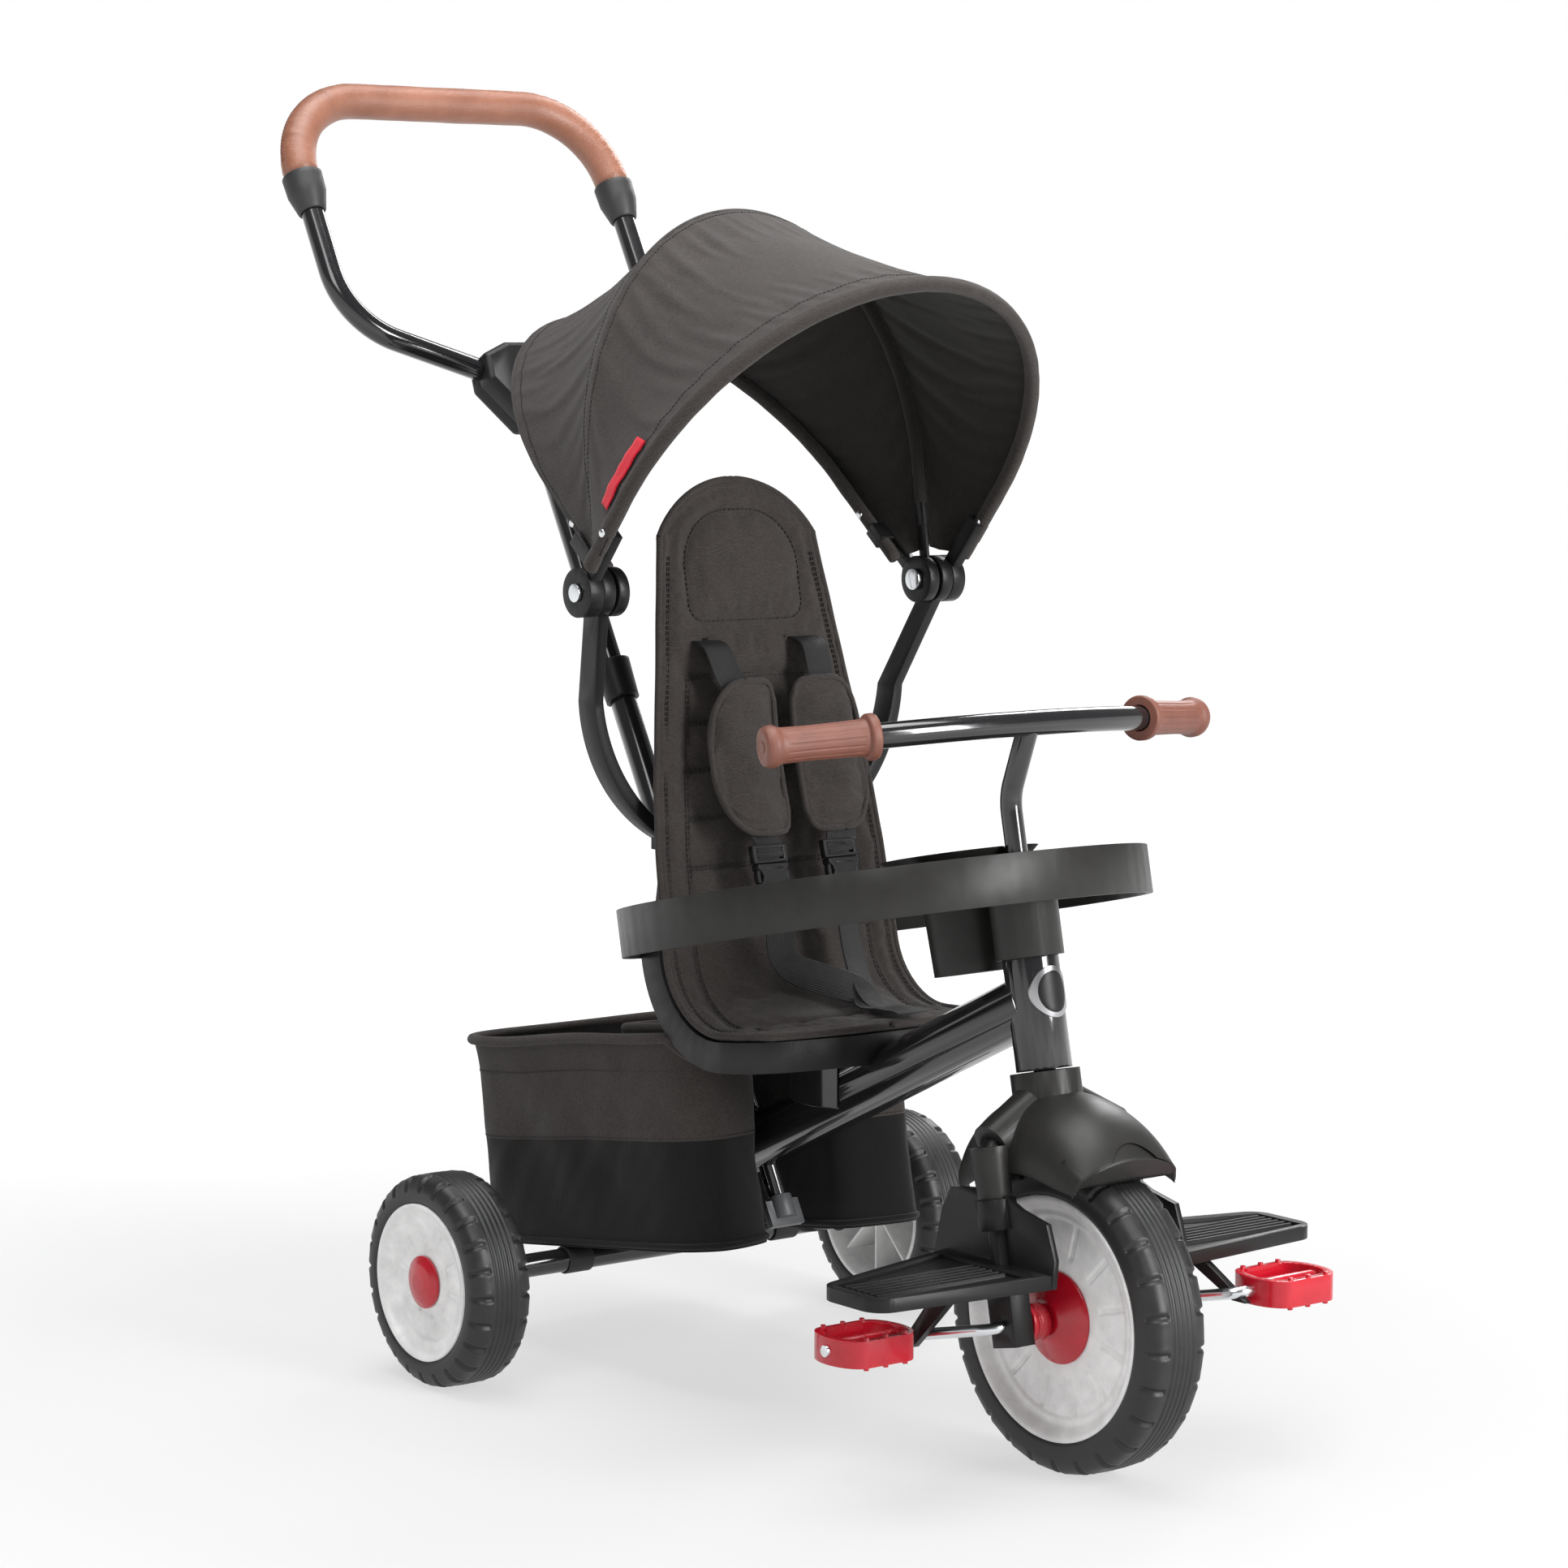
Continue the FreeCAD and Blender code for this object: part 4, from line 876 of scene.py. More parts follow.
# the seat's outline: distance down from its top, half width there
SEAT_WIDTHS = [(0.000, 0.076), (0.048, 0.0765), (0.158, 0.0925), (0.239, 0.105), (0.295, 0.1105),
               (0.370, 0.114), (0.460, 0.115), (0.480, 0.112), (0.500, 0.101), (0.540, 0.096)]


def seat_place(s):
    """Point on the middle line of the padded surface and the way that it faces, s metres from the top."""
    if s <= BACK_LENGTH:
        normal = Vector((0, -SEAT_UP.z, SEAT_UP.y))
        return SEAT_TOP - SEAT_UP * s, normal
    if s <= BACK_LENGTH + BEND_LENGTH:
        turn = (s - BACK_LENGTH) / SEAT_BEND
        start = Vector((0, SEAT_UP.z, -SEAT_UP.y))
        facing = Matrix.Rotation(-turn, 3, "X") @ start
        return SEAT_BEND_CENTRE + facing * SEAT_BEND, -facing
    normal = Vector((0, SEAT_OUT.z, -SEAT_OUT.y))
    if normal.z < 0:
        normal = -normal
    rest = s - BACK_LENGTH - BEND_LENGTH
    return SEAT_CORNER + SEAT_OUT * (SEAT_REACH + rest), normal


def seat_half_width(s):
    return float(np.interp(s, [p[0] for p in SEAT_WIDTHS], [p[1] for p in SEAT_WIDTHS]))


def back_s(z):
    """Distance from the top of the seat at a height on the back."""
    return (SEAT_TOP.z - z) / SEAT_UP.z


CHANNELS = [back_s(z) for z in (0.561, 0.526, 0.489, 0.452, 0.414, 0.361)] + [0.466]
OUTER_SEAM, INNER_SEAM = 0.0085, 0.026
# the headrest panel: its ends along the seat, half width and corner radii
PANEL_LOW, PANEL_HIGH = back_s(0.604), back_s(0.691)
PANEL_HALF_X, PANEL_TOP_R, PANEL_LOW_R = 0.056, 0.046, 0.014


def panel_edge(x, s):
    """Signed distance from the outline of the headrest panel, a box with large upper corners."""
    middle, half_s = (PANEL_LOW + PANEL_HIGH) / 2, (PANEL_LOW - PANEL_HIGH) / 2
    corner = PANEL_TOP_R if s < middle else PANEL_LOW_R
    dx, ds = abs(x) - PANEL_HALF_X + corner, abs(s - middle) - half_s + corner
    return math.hypot(max(dx, 0), max(ds, 0)) + min(max(dx, ds), 0) - corner


def seam_distance(x, s, edge):
    """Distance to the nearest line of stitches in the liner."""
    lines = [edge, abs(edge - OUTER_SEAM), abs(panel_edge(x, s))]
    if s > CHANNELS[0] - 0.004:
        inner = edge - INNER_SEAM
        lines.append(math.hypot(inner, max(0, CHANNELS[0] - s)))
        if inner > -0.003:
            lines += [abs(s - c) for c in CHANNELS]
    return min(lines)


def liner_pin(x, s, edge):
    """True where the liner is stitched down; edge is the distance from its outline."""
    line = 0.0021
    if edge < 0.001 or abs(edge - OUTER_SEAM) < line * 0.7:
        return True
    if abs(panel_edge(x, s)) < line * 0.8:
        return True
    inner = edge - INNER_SEAM
    if s > CHANNELS[0] - 0.001:
        if abs(inner) < line * 0.8:
            return True
        if inner > 0 and min(abs(s - c) for c in CHANNELS) < line * 0.9:
            return True
    return False


def make_liner():
    step = 0.004
    cols, top_rows, end_rows = 61, 16, 9
    top_end, low_start = 0.066, 0.486
    body_rows = int((low_start - top_end) / step)
    rows = top_rows + body_rows + end_rows
    top_radius, top_half = 0.086, 0.0755
    puff_height, puff_reach, seam_depth, back_depth = 0.0046, 0.0052, 0.0052, 0.0094
    front, back, pins = [], [], []
    for i in range(rows):
        for j in range(cols):
            u = 2 * j / (cols - 1) - 1
            top = top_radius - math.sqrt(top_radius ** 2 - (top_half * u) ** 2)
            low = 0.5265 - 0.022 * abs(u) ** 2.4
            if i < top_rows:
                s = top + (top_end - top) * i / top_rows
            elif i < top_rows + body_rows:
                s = top_end + (low_start - top_end) * (i - top_rows) / body_rows
            else:
                s = low_start + (low - low_start) * (i - top_rows - body_rows) / (end_rows - 1)
            half = seat_half_width(s)
            x = u * half
            edge = min(half - abs(x), s - top, low - s)
            point, normal = seat_place(s)
            wave = 0.0006 * cloth_noise(x * 30, s * 30, 4.0)
            puff = puff_height * (1 - math.exp(-seam_distance(x, s, edge) / puff_reach))
            front.append(point + X_AXIS * x - normal * (seam_depth - puff - wave))
            back.append(point + X_AXIS * x - normal * back_depth)
            if liner_pin(x, s, edge):
                pins.append(i * cols + j)
    liner = make_object("seat_liner_padded", front, grid_faces(rows, cols), FABRIC)
    face_towards(liner, cols * 20, FORWARD)
    simulate(liner, pins, cap=0.0035, pressure=6.0, slack=0.03, stiffness=10.0)
    liner, border = close_sheet(liner, rows, cols, back)
    piping = loop_tube("piping", border[::2], 0.0027, FABRIC)
    whole = joined("seat_liner_padded", [liner, piping])
    settle(whole, "frame", "seat_liner")
    smoothed(whole)
    liner_stitches()


def seat_line(pairs):
    """Stitches through (x, s) places, sunk in the furrow of their seam."""
    points, normals = [], []
    for x, s in pairs:
        point, normal = seat_place(s)
        points.append(point + X_AXIS * x - normal * 0.0032)
        normals.append(normal)
    return stitch_row("line", points, normals, 0.0042, 0.0027, THREAD, 0.0004)


def liner_stitches():
    rows = []
    count, low_end, second_seam = 130, 0.482, 0.0285
    for sign in (-1, 1):
        for inset, start in ((OUTER_SEAM, 0.060), (0.0065, 0.060), (INNER_SEAM, CHANNELS[0]),
                             (second_seam, CHANNELS[0])):
            places = [start + (low_end - start) * k / (count - 1) for k in range(count)]
            rows.append(seat_line([(sign * (seat_half_width(s) - inset), s) for s in places]))
    for s in CHANNELS:
        reach = seat_half_width(s) - second_seam
        for offset in (-0.0013, 0.0013):
            rows.append(seat_line([(reach * (2 * k / 30 - 1), s + offset) for k in range(31)]))
    outline = []
    for quarter, (side, radius) in enumerate(((1, PANEL_TOP_R), (-1, PANEL_TOP_R), (-1, PANEL_LOW_R),
                                              (1, PANEL_LOW_R))):
        corner_x = side * (PANEL_HALF_X - radius)
        corner_s = PANEL_HIGH + radius if quarter < 2 else PANEL_LOW - radius
        for k in range(9):
            angle = (quarter + k / 8) * math.pi / 2
            outline.append((corner_x + radius * math.cos(angle), corner_s - radius * math.sin(angle)))
    rows.append(seat_line(outline + outline[:1]))
    settle(joined("seat_liner_stitches", rows), "frame")


make_liner()


# ---- harness ------------------------------------------------------------------------------
STRAP_X = 0.048


def make_shoulder_pad(side):
    """D-shaped pad round a strap, straight towards the middle and curved on its outer side."""
    sign = SIDES[side]
    centre_x = sign * (0.046 if sign > 0 else 0.038)
    middles = ((-13, 558), (-18, 520), (-27, 480), (-39, 440))
    path = smooth_path([Vector((0, y, z)) * MM for y, z in middles], 40)
    cols, rows = 19, 33
    half_width, half_length, seam_inset = 0.0325, 0.058, 0.0062
    front, back, pins = [], [], []
    for i in range(rows):
        for j in range(cols):
            u = 2 * j / (cols - 1) - 1
            power = 2.3 if u > 0 else 7.0
            reach = (1 - min(abs(u), 0.985) ** power) ** (1 / power)
            v = 2 * i / (rows - 1) - 1
            share = 0.5 + 0.5 * v * reach
            at = share * (len(path) - 1)
            k = min(int(at), len(path) - 2)
            along = (path[k + 1] - path[k]).normalized()
            normal = along.cross(X_AXIS)
            if normal.y > 0:
                normal = -normal
            x = centre_x + sign * u * half_width
            bow = 0.006 * (1 - u * u) - 0.004
            middle = path[k].lerp(path[k + 1], at - k) + X_AXIS * (x - path[k].x)
            front.append(middle + normal * (0.003 + bow))
            back.append(middle - normal * (0.0035 - bow))
            across_edge = (1 - abs(u)) * half_width
            along_edge = (1 - abs(v)) * reach * half_length
            edge = min(across_edge, along_edge)
            if edge < 0.0012 or (abs(edge - seam_inset) < 0.0013 and reach > 0.3):
                pins.append(i * cols + j)
    name = "shoulder_pad_" + side
    pad = make_object(name + "_padded", front, grid_faces(rows, cols), FABRIC)
    face_towards(pad, len(pad.data.polygons) // 2, FORWARD)
    simulate(pad, pins, cap=0.0075, pressure=11.0, slack=0.07, stiffness=6.0)
    pad, border = close_sheet(pad, rows, cols, back)
    piping = loop_tube("piping", border, 0.0024, FABRIC)
    pad = joined(name + "_padded", [pad, piping])
    settle(pad, "frame", name)


def flat_plate(name, loops, depth, bevel, material, place):
    """Plate cut to closed outlines, the first its edge and the others its holes."""
    curve = bpy.data.curves.new(name, "CURVE")
    curve.dimensions = "2D"
    curve.fill_mode = "BOTH"
    curve.extrude = depth / 2 - bevel
    curve.bevel_depth = bevel
    curve.bevel_resolution = 2
    curve.offset = -bevel
    for loop in loops:
        spline = curve.splines.new("POLY")
        spline.points.add(len(loop) - 1)
        for point, (x, y) in zip(spline.points, loop):
            point.co = (x, y, 0, 1)
        spline.use_cyclic_u = True
    temporary = linked(name, curve)
    bpy.context.view_layer.update()
    mesh = bpy.data.meshes.new_from_object(temporary.evaluated_get(bpy.context.evaluated_depsgraph_get()))
    bpy.data.objects.remove(temporary)
    mesh.transform(place)
    mesh.materials.clear()
    mesh.materials.append(material)
    return linked(name, mesh)


def rectangle(x0, x1, y0, y1):
    return [(x0, y0), (x1, y0), (x1, y1), (x0, y1)]


def make_buckle(side):
    """Side-release buckle: ladder frame with its bars above, and the body with two pinch cut-outs below."""
    sign = SIDES[side]
    centre = Vector((sign * 0.035, -0.0495, 0.4145))
    up = Vector((0, 0.27, 0.963)).normalized()
    outward = X_AXIS.cross(up)
    if outward.y > 0:
        outward = -outward
    place = Matrix.Translation(centre) @ Matrix((X_AXIS, up, outward)).transposed().to_4x4()
    black = MATERIALS["black_plastic"]
    ladder = flat_plate("ladder", [rectangle(-0.0165, 0.0165, 0.004, 0.0185),
                                   rectangle(-0.0125, 0.0125, 0.0125, 0.0155),
                                   rectangle(-0.0125, 0.0125, 0.0068, 0.0098)], 0.0065, 0.0009, black, place)
    right = [(0.0150, 0.0035), (0.0150, -0.0005), (0.0118, -0.003), (0.0108, -0.007), (0.0122, -0.0105),
             (0.0152, -0.0125), (0.0152, -0.0180)]
    outline = right + [(-x, y) for x, y in reversed(right)]
    body = flat_plate("body", [outline], 0.0095, 0.0012, black, place)
    prongs = []
    for edge in (-1, 1):
        place_prong = place @ Matrix.Translation((edge * 0.0138, -0.0065, 0))
        prong = [(-0.0016, -0.0055), (0.0016, -0.0045), (0.0020, 0.0), (0.0012, 0.0058), (-0.0016, 0.0062)]
        loop = [(x * edge, y) for x, y in prong]
        prongs.append(flat_plate("prong", [loop[::edge]], 0.0055, 0.0006, black, place_prong))
    bar_ends = [centre + X_AXIS * x + up * 0.0111 for x in (-0.014, 0.014)]
    bar = tube_object("bar", bar_ends, 0.0019, black, side=up, ring=12)
    lift = outward * 0.0049
    ridges = [(centre + lift - up * 0.0005, X_AXIS * 0.0085, up * 0.0007, outward * 0.0004),
              (centre + lift - up * 0.0155, X_AXIS * 0.0105, up * 0.0008, outward * 0.0004)]
    ridge = box_mesh("ridge", ridges, black, 0.0002)
    buckle = joined("buckle_" + side + "_body", [ladder, body, bar, ridge] + prongs)
    settle(buckle, "frame", "buckle_" + side)


def belt(points, width, across=X_AXIS):
    """Length of webbing through points given in millimetres."""
    path = [Vector(p) * MM for p in points]
    strap = strap_object("belt", path, across, width, 0.0016, MATERIALS["webbing"], 60)
    settle(face_outward(strap), "frame")
    return strap


def make_straps():
    parts = {"shoulder_straps": [], "strap_tails": [], "waist_straps": [], "crotch_straps": []}
    for sign in (-1, 1):
        x, out = 48 * sign, 35 * sign
        pad_x, low_x = (46, 30) if sign > 0 else (-38, 22)
        side = Vector((1, 0.25 * sign, 0)).normalized()
        parts["shoulder_straps"].append(belt(
            [(x, 24, 588), (x, 12, 587.5), (x, 2, 582), (x - 2 * sign, -7, 565), (pad_x, -12, 548),
             (pad_x, -16, 530)], 0.025))
        parts["strap_tails"].append(belt(
            [(pad_x, -37, 446), (pad_x * 0.92, -42, 438), (out, -47, 430), (out, -49.5, 423)], 0.024))
        parts["waist_straps"].append(belt(
            [(out, -52, 402), (out, -55, 392), (34 * sign, -60, 368), (32 * sign, -71, 340),
             (low_x, -88, 318), (low_x, -104, 308), (low_x, -124, 307.5)], 0.024, side))
        parts["crotch_straps"].append(belt(
            [(low_x, -122, 308.2), (low_x * 0.9, -140, 309.4), (low_x * 0.8, -152, 310.2),
             (low_x * 0.8, -158, 309)], 0.024))
    for node, belts in parts.items():
        settle(joined(node + "_webbing", belts), "frame", node)


def make_slot_edges():
    """Bound slits in the liner that the shoulder straps come through; each opening is a flat black patch of
    painted shade.
    """
    slits = []
    for sign in (-1, 1):
        point, normal = seat_place(back_s(0.589))
        middle = point + X_AXIS * (STRAP_X * sign)
        # Painted shade: a flat black patch stands in for the dark hollow of the slit.
        inner = middle - normal * 0.0012
        slits.append(box_mesh("slit_shade_patch", [(inner, X_AXIS * 0.0185, SEAT_UP * 0.0022, normal * 0.0008)],
                              BAG_BLACK, 0.0007))
        rim = [middle + X_AXIS * (0.0195 * math.cos(a)) + SEAT_UP * (0.0034 * math.sin(a)) + normal * -0.0010
               for a in even_angles(40)]
        slits.append(loop_tube("binding", rim, 0.0012, FABRIC))
    whole = joined("seat_liner_slits", slits)
    settle(whole, "frame")


for side_name in SIDES:
    make_shoulder_pad(side_name)
    make_buckle(side_name)
make_straps()
make_slot_edges()


# ---- storage bag ----------------------------------------------------------------------------
BAG_ORIGIN = REAR_AXLE + Vector((0, 0, 0.0135))
BAG_TILT = math.radians(8.0)
BAG_UP = Vector((0, math.sin(BAG_TILT), math.cos(BAG_TILT)))
BAG_BACK = Vector((0, math.cos(BAG_TILT), -math.sin(BAG_TILT)))
BAG_HEIGHT = 0.168
BAG_SEAM = 0.50
SHELL_CLEARANCE, SHELL_HALF_WIDTH = 0.038, 0.122


def bag_loop(count):
    """Plan outline of the bag: a rounded back, straight sides and a notch round the main tube."""
    half = [(0.0, 149), (60, 142), (98, 128), (114, 100), (117, 50), (117, -60), (116, -140),
            (108, -176), (92, -192), (60, -186), (38, -170), (34, -140), (33, -60), (32, 0),
            (26, 20), (0, 22)]
    points = [Vector((x, y, 0)) * MM for x, y in half]
    points += [Vector((-p.x, p.y, 0)) for p in reversed(points[1:-1])]
    ring = smooth_path(points + points[:1], count + 1)[:-1]
    return ring


def bag_point(flat, h, outward, inset):
    """Point on the bag's wall at a share of its height, pulled in by inset."""
    firm = math.sin(math.pi * min(1, max(0, h))) ** 0.7
    fold = cloth_noise(flat.x * 16 + h * 1.5, flat.y * 16 - h * 2.2, 7.0)
    small = cloth_noise(flat.x * 45 + h * 3, flat.y * 45 + h * 5, 9.0)
    slope = 0.0025 * cloth_noise(flat.x * 9, flat.y * 9, 1.0) * h
    move = (0.0040 * fold + 0.0013 * small) * firm - 0.0030 * firm + 0.0030 * h ** 12 - inset
    flat = flat + outward * move
    point = BAG_ORIGIN + X_AXIS * flat.x + BAG_BACK * flat.y + BAG_UP * (h * BAG_HEIGHT + slope)
    return clear_of_seat(point)


def clear_of_seat(point):
    """Keep a point below the underside of the seat shell."""
    limit = SEAT_BEND + SHELL_CLEARANCE
    away = point - SEAT_BEND_CENTRE
    away.x = 0
    if abs(point.x) < SHELL_HALF_WIDTH and away.length < limit and point.y < SEAT_BEND_CENTRE.y + 0.12:
        point = point - UP * (math.sqrt(max(0, limit ** 2 - away.y ** 2)) + away.z)
    return point


def make_bag():
    count, rows = 300, 49
    ring = bag_loop(count)
    outs = []
    for index, point in enumerate(ring):
        along = (ring[(index + 1) % count] - ring[index - 1]).normalized()
        outs.append(along.cross(UP))
    if outs[0].y < 0:
        outs = [-o for o in outs]
    verts = []
    for inset, order in ((0.0, range(rows)), (0.0022, range(rows - 1, 0, -1))):
        for i in order:
            for point, out in zip(ring, outs):
                verts.append(bag_point(point, i / (rows - 1), out, inset))
    levels = len(verts) // count
    faces = grid_faces(levels, count, wrap_cols=True)
    bag = make_object("storage_bag_cloth", verts, faces, FABRIC)
    bag.data.materials.append(BAG_BLACK)
    seam_row = int(BAG_SEAM * (rows - 1))
    for index, polygon in enumerate(bag.data.polygons):
        row = index // count
        polygon.material_index = 1 if row < seam_row or row >= rows else 0
    face_outward(bag)
    floor_verts = [bag_point(point, 0.0, out, 0.0004) for point, out in zip(ring, outs)]
    floor_piece = bag_floor(floor_verts)
    rim_points = [bag_point(p, 0.985, o, -0.0008) for p, o in zip(ring, outs)]
    rim = loop_tube("rim", rim_points, 0.0043, FABRIC, BAG_UP, 12)
    foot_points = [bag_point(p, 0.012, o, 0.0) for p, o in zip(ring, outs)]
    foot = loop_tube("foot", foot_points, 0.0026, BAG_BLACK, BAG_UP)
    seams = []
    for h, lift in ((BAG_SEAM + 0.012, 0.0002), (0.83, 0.0002)):
        points = [bag_point(p, h, o, -lift) for p, o in zip(ring, outs)]
        seams.append(stitch_row("seam", points + points[:1], outs + outs[:1], 0.0038, 0.0025, THREAD))
    whole = joined("storage_bag_cloth", [bag, floor_piece, rim, foot] + seams)
    smoothed(whole)
    settle(whole, "frame", "storage_bag")


def bag_floor(edge):
    made = bmesh.new()
    loop = [made.verts.new(v) for v in edge]
    lower = [made.verts.new(v - BAG_UP * 0.0022) for v in edge]
    for ring_of in (loop, lower):
        edges = [made.edges.new(pair) for pair in zip(ring_of, ring_of[1:] + ring_of[:1])]
        bmesh.ops.triangle_fill(made, edges=edges, use_beauty=True)
    for k in range(len(loop)):
        made.faces.new((loop[k], loop[k - 1], lower[k - 1], lower[k]))
    bmesh.ops.recalc_face_normals(made, faces=made.faces)
    mesh = bpy.data.meshes.new("bag_floor")
    made.to_mesh(mesh)
    made.free()
    mesh.materials.append(BAG_BLACK)
    return linked("bag_floor", mesh)


make_bag()


# ---- push handle and grips --------------------------------------------------------------------
WRAP_R = 0.0150
# the left grip's outer end from the front axle: sideways, back and up along the steering axis
GRIP_END = (0.208, 0.0148, 0.4328)
GRIP_SWEEP = -0.3174


def pole_point(x, s):
    return POLE_ORIGIN + X_AXIS * x + POLE_AXIS * s


def wrap_path(count):
    """Centre line of the leather wrap: up one leg, across and down the other, with round corners."""
    half, top, bend, start = 0.160, 0.642, 0.075, 0.5665
    points = [pole_point(half, start + (top - bend - start) * k / 4) for k in range(4)]
    points += [pole_point(half - bend + bend * math.cos(a), top - bend + bend * math.sin(a))
               for a in np.linspace(0, math.pi / 2, 30)]
    points += [pole_point((half - bend) * (1 - k / 12), top) for k in range(1, 13)]
    mirrored = [Vector((-p.x, p.y, p.z)) for p in reversed(points[:-1])]
    return even_path(points + mirrored, count)


def make_wrap():
    count = 420
    path = wrap_path(count)
    total = sum((b - a).length for a, b in zip(path, path[1:]))

    def section(share, angle):
        place = share * total
        inside = 0.5 - 0.5 * math.sin(angle)
        bend_near = min(abs(place - 0.06), abs(total - place - 0.06))
        bunch = math.exp(-(bend_near / 0.07) ** 2)
        ripple = 0.0007 * cloth_noise(place * 210, angle * 0.8, 2.0) * bunch * inside
        soft = 0.0004 * cloth_noise(place * 30, math.cos(angle) * 2, 5.0)
        gap = (angle - 1.5 * math.pi + math.pi) % (2 * math.pi) - math.pi
        seam = 0.0010 * math.exp(-(gap / 0.05) ** 2)
        end = 0.0018 * math.exp(-(min(place, total - place) / 0.003) ** 2)
        return WRAP_R + ripple + soft - seam - end

    wrap = tube_object("handle_wrap_leather", path, section, MATERIALS["tan_leather"],
                       side=POLE_BACK, ring=64)
    face_outward(wrap)
    frames = path_frames(path, POLE_BACK)
    points, normals = [], []
    for point, _, _, normal in frames[6:-6]:
        outward = -normal
        points.append(point + outward * (WRAP_R - 0.0001))
        normals.append(outward)
    stitches = []
    spacing = 6
    for k in range(0, len(points) - spacing, spacing // 2):
        tangent = (points[k + 1] - points[k]).normalized()
        slant = (POLE_BACK + tangent * 0.35).normalized()
        stitches.append((points[k], slant * 0.0026, tangent * 0.0005, normals[k] * 0.0005))
    thread = box_mesh("stitches", stitches, MATERIALS["tan_leather"], 0)
    whole = joined("handle_wrap_leather", [wrap, thread])
    smoothed(whole)
    settle(whole, "push_handle", "handle_wrap")


def make_grip(side):
    sign = SIDES[side]
    aside, behind, above = GRIP_END
    tip = FRONT_AXLE + X_AXIS * (aside * sign) + STEER_BACK * behind + STEER_AXIS * above
    inward = (X_AXIS * -sign + STEER_BACK * GRIP_SWEEP).normalized()
    profile = [(-0.003, 0.0001), (-0.003, 0.004), (-0.0022, 0.0045), (-0.003, 0.0105),
               (-0.0018, 0.0138), (0.001, 0.0152), (0.005, 0.0156), (0.0075, 0.0146),
               (0.0095, 0.0136), (0.013, 0.0131), (0.030, 0.0127), (0.050, 0.0130),
               (0.070, 0.0134), (0.0755, 0.0138), (0.0765, 0.0160), (0.078, 0.0171),
               (0.082, 0.0172), (0.0838, 0.0162), (0.084, 0.0101)]
    fine = subdivide_profile(profile, 0.0009)
    ribs, first, last = 14, 0.012, 0.074

    def ribbed(x, r, angle):
        if not first < x < last:
            return x, r
        fade = min(1, (x - first) / 0.004, (last - x) / 0.004)
        near = abs(mark_distance(angle, ribs)) * r
        groove = math.exp(-(near / 0.00065) ** 2)
        swell = 0.5 + 0.5 * math.sin((x - first) / (last - first) * math.pi)
        return x, r - 0.0006 * groove * fade * (0.4 + 0.6 * swell)

    grip = lathe_object("grip_" + side + "_rubber", fine, tip, MATERIALS["grip_brown"],
                        marked_angles(ribs, 0.11, 8, 3), ribbed, axis=inward, closed=False)
    settle(grip, "steering", "grip_" + side)


def make_badge_centre():
    """Dark enamel oval inside the silver rim of the badge on the head tube."""
    radius, height, half_width, middle = 0.0226, 0.0158, 0.0140, 0.236
    rings, turns = 10, 48
    verts = []
    for i in range(rings + 1):
        share = i / rings
        raise_by = 0.0006 * math.sqrt(max(0, 1 - share ** 6))
        for j in range(turns):
            angle = 2 * math.pi * j / turns
            turn = share * half_width * math.cos(angle) / radius
            side = X_AXIS * math.sin(turn) - STEER_BACK * math.cos(turn)
            up = STEER_AXIS * (middle + share * height * math.sin(angle))
            verts.append(FRONT_AXLE + up + side * (radius - 0.0003 + raise_by))
    centre = make_object("head_badge_enamel", verts, grid_faces(rings + 1, turns, wrap_cols=True),
                         MATERIALS["black_plastic"])
    modifier(centre, "WELD", merge_threshold=0.00002)
    apply_modifiers(centre)
    smoothed(centre)
    settle(face_outward(centre), "frame")


def fender_outline(degrees, count):
    """Outline of the fender across the wheel at an angle ahead of the steering axis, as (x, radius)."""
    share = (degrees - 28) / 10.5
    half, crown, edge = 53 - 3 * share, 151 - 12 * share, 110 + 4 * share
    shoulder = edge + 0.62 * (crown - edge)
    points = [(-half, edge), (-0.82 * half, shoulder), (0, crown), (0.82 * half, shoulder), (half, edge)]
    path = smooth_path([Vector((x, r - 0.6, 0)) * MM for x, r in points], count)
    return [(p.x, p.y) for p in path]


def make_fender_lip():
    """Front edge of the fender: its skin turned down to a straight lower edge just clear of the tyre."""
    count, low, tip = 61, 0.1195, 38.4
    rows = [(degrees, fender_outline(degrees, count)) for degrees in (28.5, 30, 32, 34, 36, 37.4, tip)]
    last = rows[-1][1]
    for share in (0.97, 0.9, 0.7, 0.45, 0.2, 0.0):
        rows.append((tip, [(x, min(r, low + max(0, r - low) * share)) for x, r in last]))
    verts = []
    for degrees, outline in rows:
        angle = math.radians(degrees)
        out = STEER_AXIS * math.cos(angle) - STEER_BACK * math.sin(angle)
        verts += [FRONT_AXLE + X_AXIS * x + out * r for x, r in outline]
    lip = make_object("front_fender_lip", verts, grid_faces(len(rows), count), MATERIALS["charcoal_plastic"])
    face_towards(lip, count // 2, UP)
    modifier(lip, "SOLIDIFY", thickness=0.0018, offset=-1.0)
    apply_modifiers(lip)
    smoothed(lip)
    settle(lip, "steering")


make_wrap()
make_badge_centre()
make_fender_lip()
for side_name in SIDES:
    make_grip(side_name)


# ---- stage --------------------------------------------------------------------------
FLOOR_HALF = 60.0
LIGHTS_AIM = (0, 0, 0.5)
LIGHTS = (("key", (-2.4, -1.6, 3.2), (1.6, 1.6), 40),
          ("rim", (2.6, 1.4, 2.4), (0.8, 2.0), 50),
          ("front", (0.8, -3.4, 1.6), (0.9, 2.2), 140),
          ("top", (0, 0, 4.0), (3.0, 3.0), 170))
CAMERA_PLACE = Vector((-2.018, -2.626, 0.8246))
CAMERA_TARGET = Vector((-0.0600, -0.0985, 0.4863))
CAMERA_ROLL = 0.23
CAMERA_LENS = 96.42


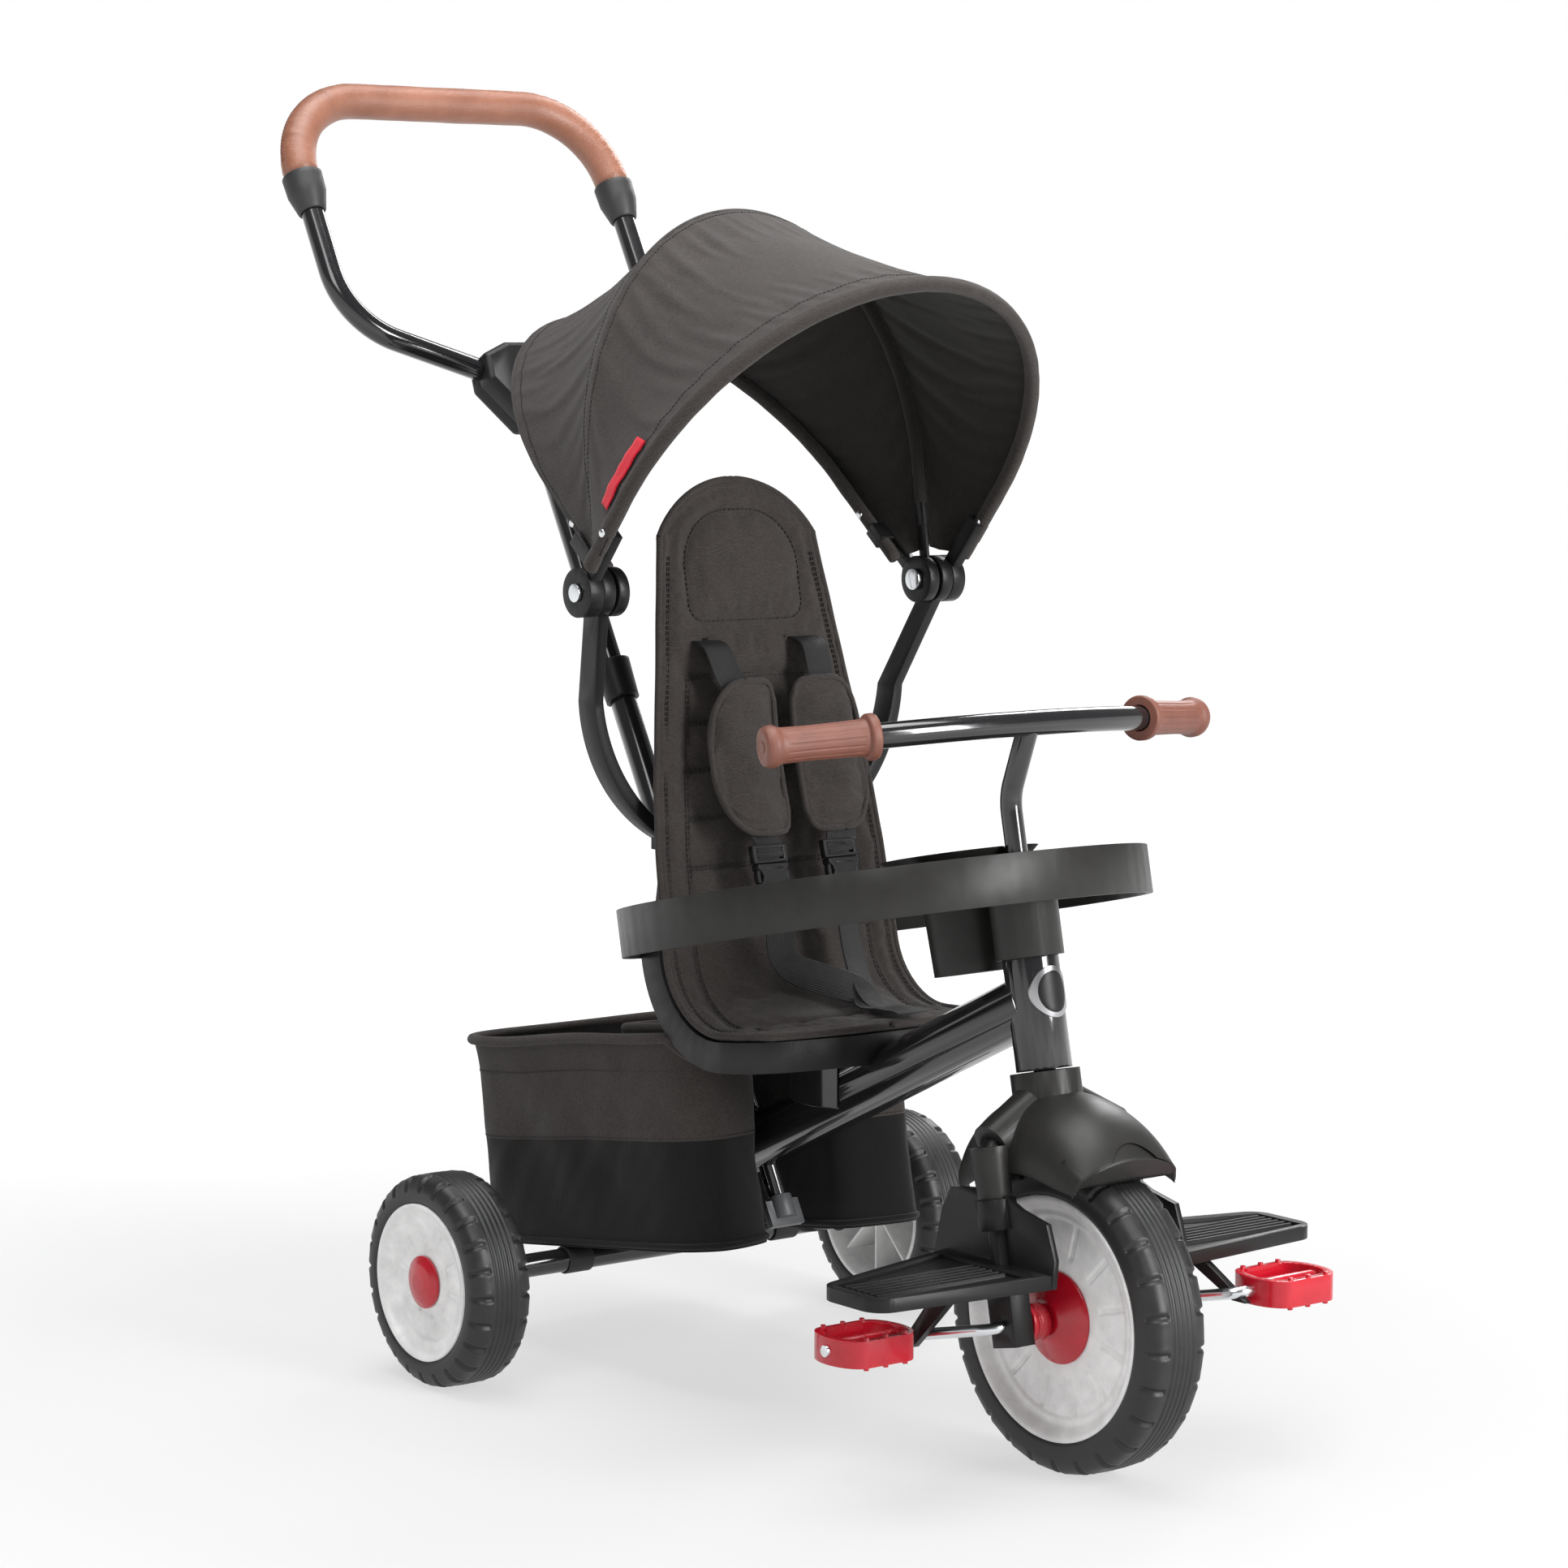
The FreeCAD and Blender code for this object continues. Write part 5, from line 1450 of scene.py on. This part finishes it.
def area_light(name, location, target, size, power):
    data = bpy.data.lights.new(name, "AREA")
    data.shape = "RECTANGLE"
    data.size, data.size_y = size
    data.energy = power
    lamp = linked(name, data)
    lamp.location = location
    lamp.rotation_mode = "QUATERNION"
    lamp.rotation_quaternion = (Vector(target) - Vector(location)).to_track_quat("-Z", "Y")


def make_world():
    """Studio surround: bright round the horizon and dimmer overhead."""
    world = bpy.data.worlds.new("studio")
    world.use_nodes = True
    tree = world.node_tree
    place = tree.nodes.new("ShaderNodeTexCoord")
    split = tree.nodes.new("ShaderNodeSeparateXYZ")
    ramp = tree.nodes.new("ShaderNodeValToRGB")
    tree.links.new(place.outputs["Generated"], split.inputs[0])
    tree.links.new(split.outputs["Z"], ramp.inputs["Fac"])
    stops = ramp.color_ramp.elements
    stops[0].position, stops[0].color = 0.085, (1, 1, 1, 1)
    stops[1].position, stops[1].color = 0.22, (0.20, 0.20, 0.205, 1)
    tree.links.new(ramp.outputs["Color"], tree.nodes["Background"].inputs["Color"])
    tree.nodes["Background"].inputs["Strength"].default_value = 1.0
    bpy.context.scene.world = world


def make_stage():
    shade = Shade("floor", (0.18, 0.18, 0.18), 0.8, Emission_Strength=1.0, Specular_IOR_Level=0.1)
    # Painted shade: the floor glows by its own emission, dimmer near the middle to darken it under the tricycle
    # and brighter far out.
    away = shade.add("VectorMath", {0: shade.coordinates()}, operation="LENGTH").outputs["Value"]
    far = shade.math("MULTIPLY", away, 0.1)
    shade.wire(Emission_Color=shade.ramp(far, [(0.06, (0.62, 0.62, 0.62)), (0.20, (0.96, 0.96, 0.96))]))
    corners = [(x * FLOOR_HALF, y * FLOOR_HALF, 0) for x, y in ((-1, -1), (1, -1), (1, 1), (-1, 1))]
    make_object("floor", corners, [(0, 1, 2, 3)], shade.material)
    make_world()
    for name, place, size, power in LIGHTS:
        area_light(name, place, LIGHTS_AIM, size, power)
    bpy.context.scene.view_settings.view_transform = "Standard"


def make_camera():
    data = bpy.data.cameras.new("camera")
    data.lens = CAMERA_LENS
    data.sensor_width = 36.0
    camera = linked("camera", data)
    camera.location = CAMERA_PLACE
    camera.rotation_mode = "QUATERNION"
    look = (CAMERA_TARGET - camera.location).to_track_quat("-Z", "Y")
    roll = Matrix.Rotation(math.radians(CAMERA_ROLL), 4, "Z").to_quaternion()
    camera.rotation_quaternion = look @ roll
    bpy.context.scene.camera = camera


make_stage()
make_camera()
